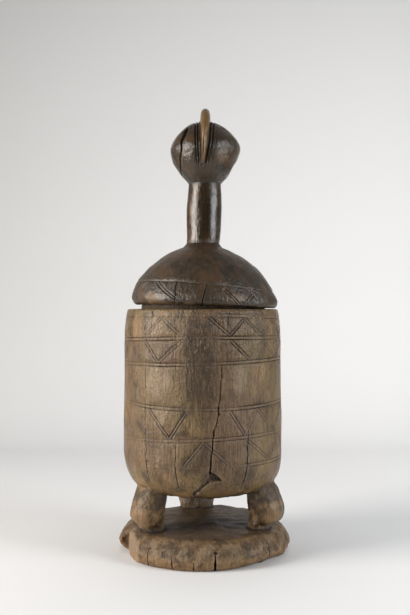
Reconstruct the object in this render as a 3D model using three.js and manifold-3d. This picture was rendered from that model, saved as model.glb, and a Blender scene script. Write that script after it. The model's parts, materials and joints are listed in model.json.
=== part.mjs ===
// A carved wooden pot with a lift-off lid, in millimetres, +Z up, its front facing -Y.
// The real object is two pieces of wood, each cut from one block:
//   pot: a round base, three bent legs and a tall vessel with a raised lip round its mouth
//   lid: a hollow dome that drops over the lip, with a neck, a ball head and a crest as its grip
// The origin is the centre of the base's underside.
import * as THREE from "three";
import { mergeVertices } from "three/addons/utils/BufferGeometryUtils.js";
import Module from "manifold-3d";

// Base: a thick disc with a bellied edge and a rounded shoulder.
const BASE_RADIUS = 108.5;
const BASE_FOOT_RADIUS = 104.8;
const BASE_HEIGHT = 33.5;
const BASE_BELLY_HEIGHT = 11;
const BASE_SHOULDER = 16.5;

// Damage at the left of the base's front: a flank that has come away, and the split beside it.
// A bearing is in degrees from the front, towards +X.
const FLANK_BEARING = -72;
const FLANK_DEPTH = 9.5;
const SPLIT_BEARING = -77;
const SPLIT_WIDTH = 13;
const SPLIT_DEPTH = 21;

// Legs: three bent knees between the base and the vessel.
const LEGS = [
  { bearing: -55, width: 50 },
  { bearing: 64, width: 54 },
  { bearing: 186, width: 51 },
];
const LEG_HEIGHT = 42.5;
const KNEE_RADIUS = 106;
const KNEE_DEPTH = 38;
const KNEE_OVERHANG = 15;
const ANKLE_WIDTH = 36;
const ANKLE_DEPTH = 22;

// Vessel: a tall bellied cylinder, hollow, with a flat shoulder and a raised lip.
const VESSEL_HEIGHT = 230.6;
const VESSEL_OFFSET = -1.5;
const BELLY_RADIUS = 100.2;
const BELLY_HEIGHT = 55;
const UNDERSIDE_RADIUS = 72;
const RIM_RADIUS = 96;
const RIM_TAPER = 50;
const VESSEL_WALL = 18;
const VESSEL_FLOOR = 18;
const FLOOR_RADIUS = 52;
const LIP_RADIUS = 79;
const LIP_HEIGHT = 12;
const LIP_WALL = 9;

// Carving round the wall: six bands, each a pair of lines. A band's height is given at the left,
// the front and the right, in percent of the vessel's height, because the carver's lines wander.
const BANDS = [
  { left: 97.1, front: 96.9, right: 96.1 },
  { left: 84.1, front: 85.3, right: 85.0 },
  { left: 71.1, front: 71.9, right: 73.1 },
  { left: 49.7, front: 48.7, right: 49.7 },
  { left: 31.4, front: 33.2, right: 34.5 },
  { left: 18.0, front: 19.1, right: 19.7 },
];
const LINE_SPACING = 4;
const LINE_WIDTH = 2;
const LINE_DEPTH = 0.85;

// A zigzag runs between two bands. The bearings of its corners on the front are given, and the
// rest of the round is filled at the same pace.
const ZIGZAGS = [
  { upper: 0, lower: 1, startsHigh: false, corners: [-43.3, -30, -15.1, 3.2, 19, 29.3, 44.9] },
  { upper: 1, lower: 2, startsHigh: true, corners: [-44.3, -31.6, -13.1, 2.5, 19, 34.8, 49, 62] },
  { upper: 3, lower: 4, startsHigh: true, corners: [-39.6, -22.8, -9, 3.9, 18, 30, 39.5, 58] },
  { upper: 4, lower: 5, startsHigh: false, corners: [-42, -32.5, -14.5, 0.5, 18, 31, 52] },
];
const ZIGZAG_PACE = 15.5;
const ZIGZAG_WAVER = 1.5;
const ZIGZAG_INSET = 3.6;
const STROKE_WIDTH = 2.2;
const STROKE_DEPTH = 0.95;

// Lid: its ledge sits on the lip, and its skirt hangs round the lip, its edge a little askew.
const SEAT_GAP = 0.3;
const LIP_CLEARANCE = 0.5;
const LID_SHIFT = 2.8;
const LID_RIM_HEIGHT = 8;
const LID_WALL = 21;
const SKIRT_WALL = 11;
const SKIRT_GAP = 1.2;
const SKIRT_SLANT = 1.4;
const SKIRT_CHAMFER = 3;
const DOME_HEIGHT = 73.5;

// Grip: neck, ball head and crest.
const NECK_RADIUS = 22.5;
const NECK_END_RADIUS = 21;
const NECK_LENGTH = 79.5;
const HEAD_RADIUS = 44.1;
const HEAD_LOWER_HEIGHT = 41;
const HEAD_UPPER_HEIGHT = 39.5;
const CREST_THICKNESS = 14.4;
const CREST_TIP_THICKNESS = 7.5;
const CREST_ROUNDING = 4;
const CREST_RISE = 15.3;
const CREST_BULGE = 13;
const CREST_DROP = 56;

// Facets round each turned shape and each leg.
const ROUND_FACETS = 48;
const LEG_FACETS = 20;

// Heights and radii worked out from the sizes above.
const VESSEL_BOTTOM = BASE_HEIGHT + LEG_HEIGHT;
const SHOULDER = VESSEL_BOTTOM + VESSEL_HEIGHT;
const LIP_TOP = SHOULDER + LIP_HEIGHT;
const MOUTH_RADIUS = LIP_RADIUS - LIP_WALL;
const LID_LEDGE = LIP_TOP + SEAT_GAP;
const LID_WIDEST = SHOULDER + LID_RIM_HEIGHT;
const SKIRT_INSIDE = LIP_RADIUS + LID_SHIFT + LIP_CLEARANCE;
const SKIRT_EDGE = SHOULDER + SKIRT_GAP;
const LID_RADIUS = SKIRT_INSIDE + SKIRT_WALL;
const DOME_TOP = LID_WIDEST + DOME_HEIGHT;
const NECK_TOP = DOME_TOP + NECK_LENGTH;
const HEAD_WIDEST = NECK_TOP + HEAD_LOWER_HEIGHT;
const HEAD_TOP = HEAD_WIDEST + HEAD_UPPER_HEIGHT;

const wasm = await Module();
wasm.setup();

// A closed three.js geometry as a solid that can be joined and cut.
function toSolid(geometry) {
  const bare = geometry.clone();
  bare.deleteAttribute("normal");
  bare.deleteAttribute("uv");
  const merged = mergeVertices(bare, 1e-4);
  const corners = merged.index.array;
  const triangles = [];
  for (let i = 0; i < corners.length; i += 3) {
    const [a, b, c] = [corners[i], corners[i + 1], corners[i + 2]];
    if (a !== b && b !== c && c !== a) triangles.push(a, b, c);
  }
  return new wasm.Manifold(
    new wasm.Mesh({
      numProp: 3,
      vertProperties: new Float32Array(merged.attributes.position.array),
      triVerts: new Uint32Array(triangles),
    }),
  );
}

function toGeometry(solid) {
  const mesh = solid.getMesh();
  const geometry = new THREE.BufferGeometry();
  geometry.setAttribute("position", new THREE.BufferAttribute(mesh.vertProperties, 3));
  geometry.setIndex(new THREE.BufferAttribute(mesh.triVerts, 1));
  geometry.computeVertexNormals();
  return geometry;
}

const radians = THREE.MathUtils.degToRad;
const at = (radius, height) => new THREE.Vector2(radius, height);

// Points along a curve without its first, which the outline before it already ends on.
const bend = (steps, a, b, c) => new THREE.QuadraticBezierCurve(a, b, c).getPoints(steps).slice(1);
const sweep = (steps, a, b, c, d) => new THREE.CubicBezierCurve(a, b, c, d).getPoints(steps).slice(1);

// An outline of radius and height turned about +Z. It runs up the outside, so its faces point out.
function turned(outline) {
  return new THREE.LatheGeometry(outline, ROUND_FACETS).rotateX(Math.PI / 2);
}

function base() {
  const foot = at(BASE_FOOT_RADIUS, 0);
  const belly = at(BASE_RADIUS, BASE_BELLY_HEIGHT);
  const top = at(BASE_RADIUS - BASE_SHOULDER, BASE_HEIGHT);
  const outline = [
    at(0, 0),
    foot,
    ...bend(3, foot, at(BASE_RADIUS, BASE_BELLY_HEIGHT / 3), belly),
    ...sweep(
      5,
      belly,
      at(BASE_RADIUS, BASE_HEIGHT * 0.6),
      at(BASE_RADIUS - BASE_SHOULDER / 2, BASE_HEIGHT),
      top,
    ),
    at(0, BASE_HEIGHT),
  ];
  return toSolid(turned(outline));
}

// The flank that came away: a block outside a flat along the grain. Its rear end is at the split.
function lostFlank() {
  const reach = BASE_RADIUS;
  const flat = BASE_RADIUS - FLANK_DEPTH;
  const rearEnd = BASE_RADIUS * Math.sin(radians(FLANK_BEARING - SPLIT_BEARING));
  const block = new THREE.BoxGeometry(reach, reach, BASE_HEIGHT * 2);
  block.translate(-flat - reach / 2, rearEnd - reach / 2, 0);
  return toSolid(block.rotateZ(radians(FLANK_BEARING + 90)));
}

// The split: a wedge that opens outwards, right through the base's height.
function split() {
  const inside = BASE_RADIUS - SPLIT_DEPTH;
  const outside = BASE_RADIUS + SPLIT_DEPTH;
  const wedge = new THREE.Shape([at(0, -inside), at(-SPLIT_WIDTH, -outside), at(SPLIT_WIDTH, -outside)]);
  const cut = new THREE.ExtrudeGeometry(wedge, { depth: BASE_HEIGHT * 2, bevelEnabled: false });
  return toSolid(cut.translate(0, 0, -BASE_HEIGHT / 2).rotateZ(radians(SPLIT_BEARING)));
}

// A leg's cross-sections, from inside the base to inside the vessel. Each is an oval with a height,
// the radius that its outer face reaches, its depth and its width.
function legSections(width) {
  const ankle = KNEE_RADIUS - KNEE_OVERHANG;
  const z = (share) => BASE_HEIGHT + LEG_HEIGHT * share;
  return [
    { z: z(-0.2), outer: ankle + 4, depth: ANKLE_DEPTH + 10, width: ANKLE_WIDTH + 7 },
    { z: z(0.04), outer: ankle + 2, depth: ANKLE_DEPTH + 7, width: ANKLE_WIDTH + 4 },
    { z: z(0.18), outer: ankle, depth: ANKLE_DEPTH + 2, width: ANKLE_WIDTH },
    { z: z(0.26), outer: KNEE_RADIUS - 7, depth: KNEE_DEPTH - 8, width: (ANKLE_WIDTH + width) / 2 },
    { z: z(0.42), outer: KNEE_RADIUS - 2, depth: KNEE_DEPTH - 2, width: width - 4 },
    { z: z(0.6), outer: KNEE_RADIUS, depth: KNEE_DEPTH, width },
    { z: z(0.8), outer: KNEE_RADIUS - 3, depth: KNEE_DEPTH - 1, width },
    { z: z(1.02), outer: KNEE_RADIUS - 9, depth: KNEE_DEPTH - 2, width: width - 3 },
    { z: z(1.25), outer: KNEE_RADIUS - 14, depth: KNEE_DEPTH - 8, width: width - 8 },
    { z: z(1.4), outer: KNEE_RADIUS - 22, depth: KNEE_DEPTH - 18, width: width - 20 },
  ];
}

// A leg: a ring of points for each section, joined row by row and closed by a fan at each end.
function leg({ bearing, width }) {
  const sections = legSections(width);
  const points = [];
  for (const section of sections) {
    const middle = section.depth / 2 - section.outer;
    for (let i = 0; i < LEG_FACETS; i += 1) {
      const turn = (i / LEG_FACETS) * Math.PI * 2;
      points.push(
        (Math.cos(turn) * section.width) / 2,
        (Math.sin(turn) * section.depth) / 2 + middle,
        section.z,
      );
    }
  }
  const foot = points.length / 3;
  for (const end of [sections[0], sections.at(-1)]) points.push(0, end.depth / 2 - end.outer, end.z);
  const lastRow = (sections.length - 1) * LEG_FACETS;
  const faces = [];
  for (let i = 0; i < LEG_FACETS; i += 1) {
    const next = (i + 1) % LEG_FACETS;
    for (let row = 0; row < lastRow; row += LEG_FACETS) {
      faces.push(row + i, row + next, row + next + LEG_FACETS);
      faces.push(row + i, row + next + LEG_FACETS, row + i + LEG_FACETS);
    }
    faces.push(foot, next, i);
    faces.push(foot + 1, lastRow + i, lastRow + next);
  }
  const geometry = new THREE.BufferGeometry();
  geometry.setAttribute("position", new THREE.Float32BufferAttribute(points, 3));
  geometry.setIndex(faces);
  return toSolid(geometry.rotateZ(radians(bearing)));
}

// The wall's outside before it is carved, from the underside's edge up to the shoulder.
function plainWall() {
  const underside = at(UNDERSIDE_RADIUS, VESSEL_BOTTOM);
  const belly = at(BELLY_RADIUS, VESSEL_BOTTOM + BELLY_HEIGHT);
  const taper = at(BELLY_RADIUS, SHOULDER - RIM_TAPER);
  return [
    underside,
    ...sweep(
      7,
      underside,
      at((UNDERSIDE_RADIUS + BELLY_RADIUS) / 2, VESSEL_BOTTOM),
      at(BELLY_RADIUS, VESSEL_BOTTOM + BELLY_HEIGHT * 0.67),
      belly,
    ),
    taper,
    ...bend(3, taper, at(BELLY_RADIUS, SHOULDER - RIM_TAPER / 2), at(RIM_RADIUS, SHOULDER)),
  ];
}

function wallRadius(height) {
  const outline = plainWall();
  const above = Math.max(outline.findIndex((point) => point.y >= height), 1);
  const [low, high] = [outline[above - 1], outline[above]];
  return THREE.MathUtils.mapLinear(height, low.y, high.y, low.x, high.x);
}

// A band's middle height, its tilt from left to right, and its rise at the front and the back.
function bandCourse({ left, front, right }) {
  const rise = (front - (left + right) / 2) / 1.17;
  const percent = VESSEL_HEIGHT / 100;
  return {
    middle: VESSEL_BOTTOM + (front - rise) * percent,
    tilt: ((right - left) / 1.53) * percent,
    rise: rise * percent,
  };
}

function bandShift(band, turn) {
  const { tilt, rise } = bandCourse(band);
  return tilt * Math.sin(turn) + rise * Math.cos(turn * 2);
}

const bandHeight = (band, turn) => bandCourse(band).middle + bandShift(band, turn);

// The wall's outside with a notch for each line of each band.
function wallOutline() {
  const notches = BANDS.flatMap((band) =>
    [-1, 1].flatMap((side) => {
      const line = bandCourse(band).middle + (side * LINE_SPACING) / 2;
      return [
        at(wallRadius(line - LINE_WIDTH / 2), line - LINE_WIDTH / 2),
        at(wallRadius(line) - LINE_DEPTH, line),
        at(wallRadius(line + LINE_WIDTH / 2), line + LINE_WIDTH / 2),
      ];
    }),
  );
  const clear = (point) => notches.every((notch) => Math.abs(notch.y - point.y) > LINE_WIDTH / 2);
  return [...plainWall().filter(clear), ...notches].sort((a, b) => a.y - b.y);
}

// How far the carver's hand moved the wall's rows, at a height and a turn from the front.
function wander(height, turn) {
  const hold = LINE_SPACING / 2 + LINE_WIDTH;
  const marks = [{ level: VESSEL_BOTTOM, shift: 0 }];
  for (const band of [...BANDS].reverse()) {
    const { middle } = bandCourse(band);
    const shift = bandShift(band, turn);
    marks.push({ level: middle - hold, shift }, { level: middle + hold, shift });
  }
  marks.push({ level: SHOULDER, shift: 0 });
  const inside = THREE.MathUtils.clamp(height, VESSEL_BOTTOM, SHOULDER);
  const above = Math.max(marks.findIndex((item) => item.level >= inside), 1);
  const [low, high] = [marks[above - 1], marks[above]];
  return THREE.MathUtils.mapLinear(inside, low.level, high.level, low.shift, high.shift);
}

// The vessel: up its outside from the underside, over the shoulder and lip, and down its inside.
function vessel() {
  const cavityRadius = BELLY_RADIUS - VESSEL_WALL;
  const floor = VESSEL_BOTTOM + VESSEL_FLOOR;
  const belly = at(BELLY_RADIUS, VESSEL_BOTTOM + BELLY_HEIGHT);
  const taper = at(BELLY_RADIUS, SHOULDER - RIM_TAPER);
  const throat = at(MOUTH_RADIUS, SHOULDER - VESSEL_WALL / 2);
  const innerTaper = at(cavityRadius, taper.y);
  const innerBelly = at(cavityRadius, belly.y);
  const innerFloor = at(FLOOR_RADIUS, floor);
  const outline = [
    at(0, VESSEL_BOTTOM),
    ...wallOutline(),
    at(LIP_RADIUS, SHOULDER),
    at(LIP_RADIUS, LIP_TOP),
    at(MOUTH_RADIUS, LIP_TOP),
    throat,
    ...bend(4, throat, at(cavityRadius, SHOULDER - VESSEL_WALL), innerTaper),
    innerBelly,
    ...bend(5, innerBelly, at(cavityRadius, floor), innerFloor),
    at(0, floor),
  ];
  const shape = turned(outline);
  const position = shape.attributes.position;
  const wallRows = wallOutline().length;
  for (let i = 0; i < position.count; i += 1) {
    const row = i % outline.length;
    if (row < 1 || row > wallRows) continue;
    const turn = Math.atan2(position.getX(i), -position.getY(i));
    position.setZ(i, position.getZ(i) + wander(position.getZ(i), turn));
  }
  return toSolid(shape.translate(VESSEL_OFFSET, 0, 0));
}

// How far the wall's facets lie from its axis, at a height and a turn from the front in radians.
function wallReach(height, turn) {
  const facet = (Math.PI * 2) / ROUND_FACETS;
  const offEdge = THREE.MathUtils.euclideanModulo(turn, facet) - facet / 2;
  return (wallRadius(height) * Math.cos(facet / 2)) / Math.cos(offEdge);
}

// A three-sided groove right round the wall, to be cut away, through points of turn and height.
// Its sides meet at its depth, and it is as wide as asked at the wall, whatever its slope.
function groove(line, width, depth) {
  const points = [];
  const faces = [];
  line.forEach(({ turn, height }, i) => {
    const after = (i + 1) % line.length;
    const next = line[after];
    const run = THREE.MathUtils.euclideanModulo(next.turn - turn, Math.PI * 2) * BELLY_RADIUS;
    const spread = width * Math.min(Math.hypot(1, (next.height - height) / run), 2);
    const reach = wallReach(height, turn);
    const corners = [
      { out: depth, up: spread },
      { out: -depth, up: 0 },
      { out: depth, up: -spread },
    ];
    for (const { out, up } of corners) {
      points.push(Math.sin(turn) * (reach + out), -Math.cos(turn) * (reach + out), height + up);
    }
    for (const [a, b] of [[0, 1], [1, 2], [2, 0]]) {
      faces.push(i * 3 + a, after * 3 + b, i * 3 + b, i * 3 + a, after * 3 + a, after * 3 + b);
    }
  });
  const geometry = new THREE.BufferGeometry();
  geometry.setAttribute("position", new THREE.Float32BufferAttribute(points, 3));
  geometry.setIndex(faces);
  return toSolid(geometry.translate(VESSEL_OFFSET, 0, 0));
}

// The zigzag's corners all the way round, as turns and heights, back to where they began.
function zigzagCorners({ upper, lower, startsHigh, corners }) {
  const rest = corners[0] + 360 - corners.at(-1);
  let steps = Math.round(rest / ZIGZAG_PACE);
  steps += (steps + corners.length - 1) % 2;
  const bearings = [...corners];
  for (let i = 1; i <= steps; i += 1) {
    const waver = i < steps ? ZIGZAG_WAVER * Math.sin(i * 2.4) : 0;
    bearings.push(corners.at(-1) + (rest * i) / steps + waver);
  }
  return bearings.map((bearing, i) => {
    const turn = radians(bearing);
    const high = (i % 2 === 0) === startsHigh;
    const height = high
      ? bandHeight(BANDS[upper], turn) - ZIGZAG_INSET
      : bandHeight(BANDS[lower], turn) + ZIGZAG_INSET;
    return { turn, height };
  });
}

// The zigzag's groove bends at its corners and at each edge between two facets.
function zigzagGroove(zigzag) {
  const line = [];
  const corners = zigzagCorners(zigzag);
  const facet = (Math.PI * 2) / ROUND_FACETS;
  corners.slice(1).forEach((end, i) => {
    const start = corners[i];
    line.push(start);
    for (let edge = Math.ceil(start.turn / facet) * facet; edge < end.turn; edge += facet) {
      if (edge - start.turn < facet / 20 || end.turn - edge < facet / 20) continue;
      const height = THREE.MathUtils.mapLinear(edge, start.turn, end.turn, start.height, end.height);
      line.push({ turn: edge, height });
    }
  });
  return groove(line, STROKE_WIDTH, STROKE_DEPTH);
}

function pot() {
  let solid = vessel();
  for (const zigzag of ZIGZAGS) solid = solid.subtract(zigzagGroove(zigzag));
  solid = solid.add(base());
  for (const size of LEGS) solid = solid.add(leg(size));
  return solid.subtract(lostFlank()).subtract(split());
}

// The dome with its neck and head: down inside the hollow to the ledge and the skirt's edge,
// then up the outside.
function dome() {
  const hollowTop = at(0, DOME_TOP - LID_WALL);
  const hollowEdge = at(MOUTH_RADIUS, LID_LEDGE);
  const rim = at(LID_RADIUS, LID_WIDEST);
  const neckFoot = at(NECK_END_RADIUS, DOME_TOP);
  const neckBulge = at(NECK_RADIUS * 2 - NECK_END_RADIUS, (DOME_TOP + NECK_TOP) / 2);
  const neckTop = at(NECK_END_RADIUS, NECK_TOP);
  const cheek = at(HEAD_RADIUS, HEAD_WIDEST);
  const outline = [
    hollowTop,
    ...sweep(
      7,
      hollowTop,
      at(MOUTH_RADIUS * 0.6, hollowTop.y),
      at(MOUTH_RADIUS, (hollowTop.y + LID_LEDGE) / 2),
      hollowEdge,
    ),
    at(SKIRT_INSIDE, LID_LEDGE),
    at(SKIRT_INSIDE, SKIRT_EDGE),
    at(LID_RADIUS - SKIRT_CHAMFER, SKIRT_EDGE),
    rim,
    ...sweep(
      9,
      rim,
      at(LID_RADIUS, LID_WIDEST + DOME_HEIGHT * 0.41),
      at(LID_RADIUS * 0.6, LID_WIDEST + DOME_HEIGHT * 0.78),
      neckFoot,
    ),
    ...bend(4, neckFoot, neckBulge, neckTop),
    ...sweep(
      6,
      neckTop,
      at(HEAD_RADIUS * 0.68, NECK_TOP + HEAD_LOWER_HEIGHT * 0.25),
      at(HEAD_RADIUS, NECK_TOP + HEAD_LOWER_HEIGHT * 0.6),
      cheek,
    ),
    ...sweep(
      6,
      cheek,
      at(HEAD_RADIUS, HEAD_WIDEST + HEAD_UPPER_HEIGHT * 0.45),
      at(HEAD_RADIUS * 0.6, HEAD_TOP),
      at(0, HEAD_TOP),
    ),
  ];
  return toSolid(turned(outline));
}

// The crest: a crescent blade from low on the head's front, over its top, to low on its back.
// It is drawn from the side, with its inner edge inside the head, and narrows towards its tips.
function crest() {
  const end = HEAD_TOP - CREST_DROP;
  const top = HEAD_TOP + CREST_RISE;
  const outside = HEAD_RADIUS - CREST_ROUNDING;
  const bulge = HEAD_RADIUS + CREST_BULGE;
  const bulgeHeight = (end + HEAD_WIDEST + HEAD_UPPER_HEIGHT / 2) / 2;
  const inside = HEAD_RADIUS / 2;
  const arch = (HEAD_WIDEST + HEAD_TOP) / 2;
  const side = new THREE.Shape();
  side.moveTo(inside, end);
  side.lineTo(outside, end);
  side.bezierCurveTo(bulge, bulgeHeight, outside, top, 0, top);
  side.bezierCurveTo(-outside, top, -bulge, bulgeHeight, -outside, end);
  side.lineTo(-inside, end);
  side.bezierCurveTo(-inside, arch, inside, arch, inside, end);
  const blade = new THREE.ExtrudeGeometry(side, {
    depth: CREST_THICKNESS * 0.6,
    bevelThickness: CREST_THICKNESS * 0.2,
    bevelSize: CREST_ROUNDING,
    bevelOffset: -CREST_ROUNDING,
    bevelSegments: 3,
    curveSegments: 12,
  });
  blade.translate(0, 0, -CREST_THICKNESS * 0.3).rotateX(Math.PI / 2).rotateZ(-Math.PI / 2);
  const position = blade.attributes.position;
  for (let i = 0; i < position.count; i += 1) {
    const height = THREE.MathUtils.clamp((position.getZ(i) - end) / CREST_DROP, 0, 1);
    const narrowing = THREE.MathUtils.lerp(CREST_TIP_THICKNESS / CREST_THICKNESS, 1, height);
    position.setX(i, position.getX(i) * narrowing);
  }
  return toSolid(blade);
}

// What lies under the skirt's slanting edge, which is lowest at +X.
function underSkirt() {
  const reach = LID_RADIUS * 3;
  const block = new THREE.BoxGeometry(reach, reach, reach);
  block.translate(-LID_RADIUS, 0, -reach / 2);
  block.rotateY(radians(SKIRT_SLANT));
  block.translate(LID_RADIUS, 0, SKIRT_EDGE);
  return toSolid(block);
}

function lid() {
  const solid = dome().add(crest()).subtract(underSkirt());
  return solid.translate([VESSEL_OFFSET + LID_SHIFT, 0, 0]);
}

const potWood = new THREE.MeshStandardMaterial({ color: 0x6b5540, roughness: 0.6, metalness: 0 });
const lidWood = new THREE.MeshStandardMaterial({ color: 0x483a2c, roughness: 0.42, metalness: 0 });

function named(name, solid, material) {
  const mesh = new THREE.Mesh(toGeometry(solid), material);
  mesh.name = name;
  return mesh;
}

const object = new THREE.Group();
object.add(named("pot", pot(), potWood), named("lid", lid(), lidWood));

export default object;
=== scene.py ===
import json
import math
import bpy
import numpy as np
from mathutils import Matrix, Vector, noise

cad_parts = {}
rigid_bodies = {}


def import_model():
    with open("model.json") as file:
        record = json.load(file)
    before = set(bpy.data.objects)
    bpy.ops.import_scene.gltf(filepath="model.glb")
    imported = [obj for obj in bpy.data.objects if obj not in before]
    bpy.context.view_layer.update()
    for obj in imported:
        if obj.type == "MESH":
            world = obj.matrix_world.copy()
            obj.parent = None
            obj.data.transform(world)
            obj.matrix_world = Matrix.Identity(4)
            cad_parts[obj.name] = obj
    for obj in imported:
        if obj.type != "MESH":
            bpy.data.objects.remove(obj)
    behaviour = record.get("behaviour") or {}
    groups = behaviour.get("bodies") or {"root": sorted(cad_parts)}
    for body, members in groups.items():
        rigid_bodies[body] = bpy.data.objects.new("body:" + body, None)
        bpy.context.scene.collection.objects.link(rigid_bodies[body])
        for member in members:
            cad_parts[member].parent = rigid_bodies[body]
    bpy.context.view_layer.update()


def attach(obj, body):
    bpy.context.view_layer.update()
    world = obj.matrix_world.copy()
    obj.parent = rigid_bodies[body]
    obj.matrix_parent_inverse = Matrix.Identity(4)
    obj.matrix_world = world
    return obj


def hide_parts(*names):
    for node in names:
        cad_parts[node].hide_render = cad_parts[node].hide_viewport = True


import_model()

MM = 0.001

# Camera: a 50 mm lens, level, at the height of the vessel's rim and 1.1 m in front of the pot.
bpy.ops.object.camera_add(location=(0.0009, -1.100, 0.3085), rotation=(math.pi / 2, 0, 0))
camera = bpy.context.object
camera.data.lens = 50
camera.data.sensor_width = 36
camera.data.clip_end = 50
bpy.context.scene.camera = camera


# Studio: one sheet of pale paper under the pot, curved up into a backdrop behind it,
# a broad softbox on each side and an even light from all round. Sizes here are in metres.
PAPER_WIDTH = 1.5
PAPER_FRONT = 0.5
PAPER_BACK = 0.75
PAPER_CURVE = 0.55
PAPER_RISE = 3
PAPER_WHITE = (0.80, 0.80, 0.80, 1)
# The grey blended into the paper as painted shade.
PAPER_SHADE_GREY = (0.52, 0.52, 0.52, 1)
# The room is dark behind the camera and lighter behind the pot, and lighter still to the camera.
ROOM_FRONT = 0.05
ROOM_LIGHT = 0.22
ROOM_SEEN = 0.52
WHITE = (1.0, 1.0, 1.0)
WARM = (1.0, 0.955, 0.905)
COOL = (0.95, 0.975, 1.0)


def end_edit():
    bpy.ops.object.mode_set(mode="OBJECT")


def clear_selection():
    if bpy.context.object and bpy.context.object.mode != "OBJECT":
        end_edit()
    bpy.ops.object.select_all(action="DESELECT")


def pick(piece):
    """Makes this piece the one that the operators work on."""
    clear_selection()
    bpy.context.view_layer.objects.active = piece
    piece.select_set(True)


def edit(piece):
    """Starts work on this piece's mesh, with nothing of it selected."""
    pick(piece)
    bpy.ops.object.mode_set(mode="EDIT")
    bpy.ops.mesh.select_mode(type="VERT")
    bpy.ops.mesh.select_all(action="DESELECT")


def numbers(items, name, width=1, kind=float):
    """What all these corners, edges or faces hold under this name."""
    made = np.empty(len(items) * width, kind)
    items.foreach_get(name, made)
    return made.reshape(-1, width) if width > 1 else made


def points_of(piece):
    """The piece's corners, in millimetres."""
    return numbers(piece.data.vertices, "co", 3) / MM


def move_points(piece, points):
    piece.data.vertices.foreach_set("co", (points * MM).ravel())
    piece.data.update()


def choose(piece, corners=None, faces=None):
    """Selects these corners or faces, and nothing else, for the operators of edit mode."""
    end_edit()
    mesh = piece.data
    for items, chosen in ((mesh.polygons, faces), (mesh.edges, None), (mesh.vertices, corners)):
        items.foreach_set("select", np.zeros(len(items), bool) if chosen is None else chosen)
    bpy.ops.object.mode_set(mode="EDIT")


class Value:
    """A number or colour on its way through a finish. Sums on it add Math nodes."""

    def __init__(self, finish, socket):
        self.finish, self.socket = finish, socket

    def sum(self, operation, first, second):
        return self.finish.node("Math", {"operation": operation}, {0: first, 1: second})

    def __add__(self, other):
        return self.sum("ADD", self, other)

    def __sub__(self, other):
        return self.sum("SUBTRACT", self, other)

    def __rsub__(self, other):
        return self.sum("SUBTRACT", other, self)

    def __mul__(self, other):
        return self.sum("MULTIPLY", self, other)

    __radd__, __rmul__ = __add__, __mul__

    def between(self, low, high):
        """0 below low, 1 above high, and smooth between them."""
        ends = {"Value": self, "From Min": low, "From Max": high}
        return self.finish.node("MapRange", {"interpolation_type": "SMOOTHSTEP"}, ends)


class Finish:
    """The nodes of a material or of the world, and the one method that they all come from."""

    def __init__(self, owner):
        owner.use_nodes = True
        self.owner, self.tree = owner, owner.node_tree
        self.tree.nodes.clear()

    def node(self, kind, settings, values, output=0):
        made = self.tree.nodes.new("ShaderNode" + kind)
        for name, setting in settings.items():
            setattr(made, name, setting)
        for name, value in values.items():
            if isinstance(value, Value):
                self.tree.links.new(value.socket, made.inputs[name])
            else:
                made.inputs[name].default_value = value
        return None if output is None else Value(self, made.outputs[output])

    def stored(self, name):
        return self.node("Attribute", {"attribute_name": name}, {}, "Fac")

    def patches(self, name, ragged):
        """Where a stored layer is strong, with an edge broken by noise."""
        return (self.stored(name) + (ragged - 0.5) * 0.9).between(0.25, 0.75)

    def mottle(self, size, detail=3.0, roughness=0.55, seed=0.0):
        """Random values from 0 to 1 in lumps of this size, in millimetres, along x, y and z."""
        place = self.node("TexCoord", {}, {}, "Object")
        scale = [1 / (length * MM) for length in size]
        spread = self.node("Mapping", {}, {"Vector": place, "Scale": scale, "Location": [seed] * 3})
        values = {"Vector": spread, "Scale": 1.0, "Detail": detail, "Roughness": roughness}
        return self.node("TexNoise", {}, values)

    def coated(self, colour, coats):
        """Lays colours over this one in turn, each by its share."""
        for above, share in coats:
            colour = self.node("Mix", {"data_type": "RGBA"}, {0: share, 6: colour, 7: above}, 2)
        return colour

    def finished(self, colour, roughness, height, specular=0.5, clear=None):
        relief = self.node("Bump", {}, {"Height": height, "Distance": MM, "Strength": 1.0})
        values = {"Base Color": colour, "Roughness": roughness, "Normal": relief}
        surface = self.node("BsdfPrincipled", {}, {**values, "Specular IOR Level": specular})
        if clear:
            nothing = self.node("BsdfTransparent", {}, {})
            surface = self.node("MixShader", {}, {0: clear, 1: surface, 2: nothing})
        self.node("OutputMaterial", {}, {"Surface": surface}, None)
        return self.owner


clear_selection()
bpy.ops.mesh.primitive_plane_add(size=1, location=(0, (PAPER_BACK - PAPER_FRONT) / 2, 0))
paper = bpy.context.object
paper.name = "paper"
paper.scale = (PAPER_WIDTH, PAPER_BACK + PAPER_FRONT, 1)
bpy.ops.object.transform_apply(location=True, scale=True)
edit(paper)
choose(paper, corners=points_of(paper)[:, 1] > 0)
bpy.ops.mesh.extrude_edges_move(TRANSFORM_OT_translate={"value": (0, MM, 0)})
bpy.ops.mesh.spin(steps=24, angle=-math.pi / 2, center=(0, PAPER_BACK, PAPER_CURVE), axis=(1, 0, 0))
bpy.ops.mesh.extrude_edges_move(TRANSFORM_OT_translate={"value": (0, 0, PAPER_RISE)})
bpy.ops.mesh.select_all(action="SELECT")
bpy.ops.mesh.normals_make_consistent(inside=True)
end_edit()
bpy.ops.object.shade_smooth()
# The paper's colour greys upwards and to the left, as painted shade for the light falling off there. It is
# clear from behind.
finish = Finish(bpy.data.materials.new("paper"))
place = finish.node("TexCoord", {}, {}, "Object")
right = finish.node("SeparateXYZ", {}, {"Vector": place}, "X")
up = finish.node("SeparateXYZ", {}, {"Vector": place}, "Z")
shade = finish.coated(PAPER_WHITE, [(PAPER_SHADE_GREY, up * 0.43 - right * 0.55 + 0.2)])
behind = finish.node("NewGeometry", {}, {}, "Backfacing")
paper.data.materials.append(finish.finished(shade, 0.9, 0.0, clear=behind))


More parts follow.
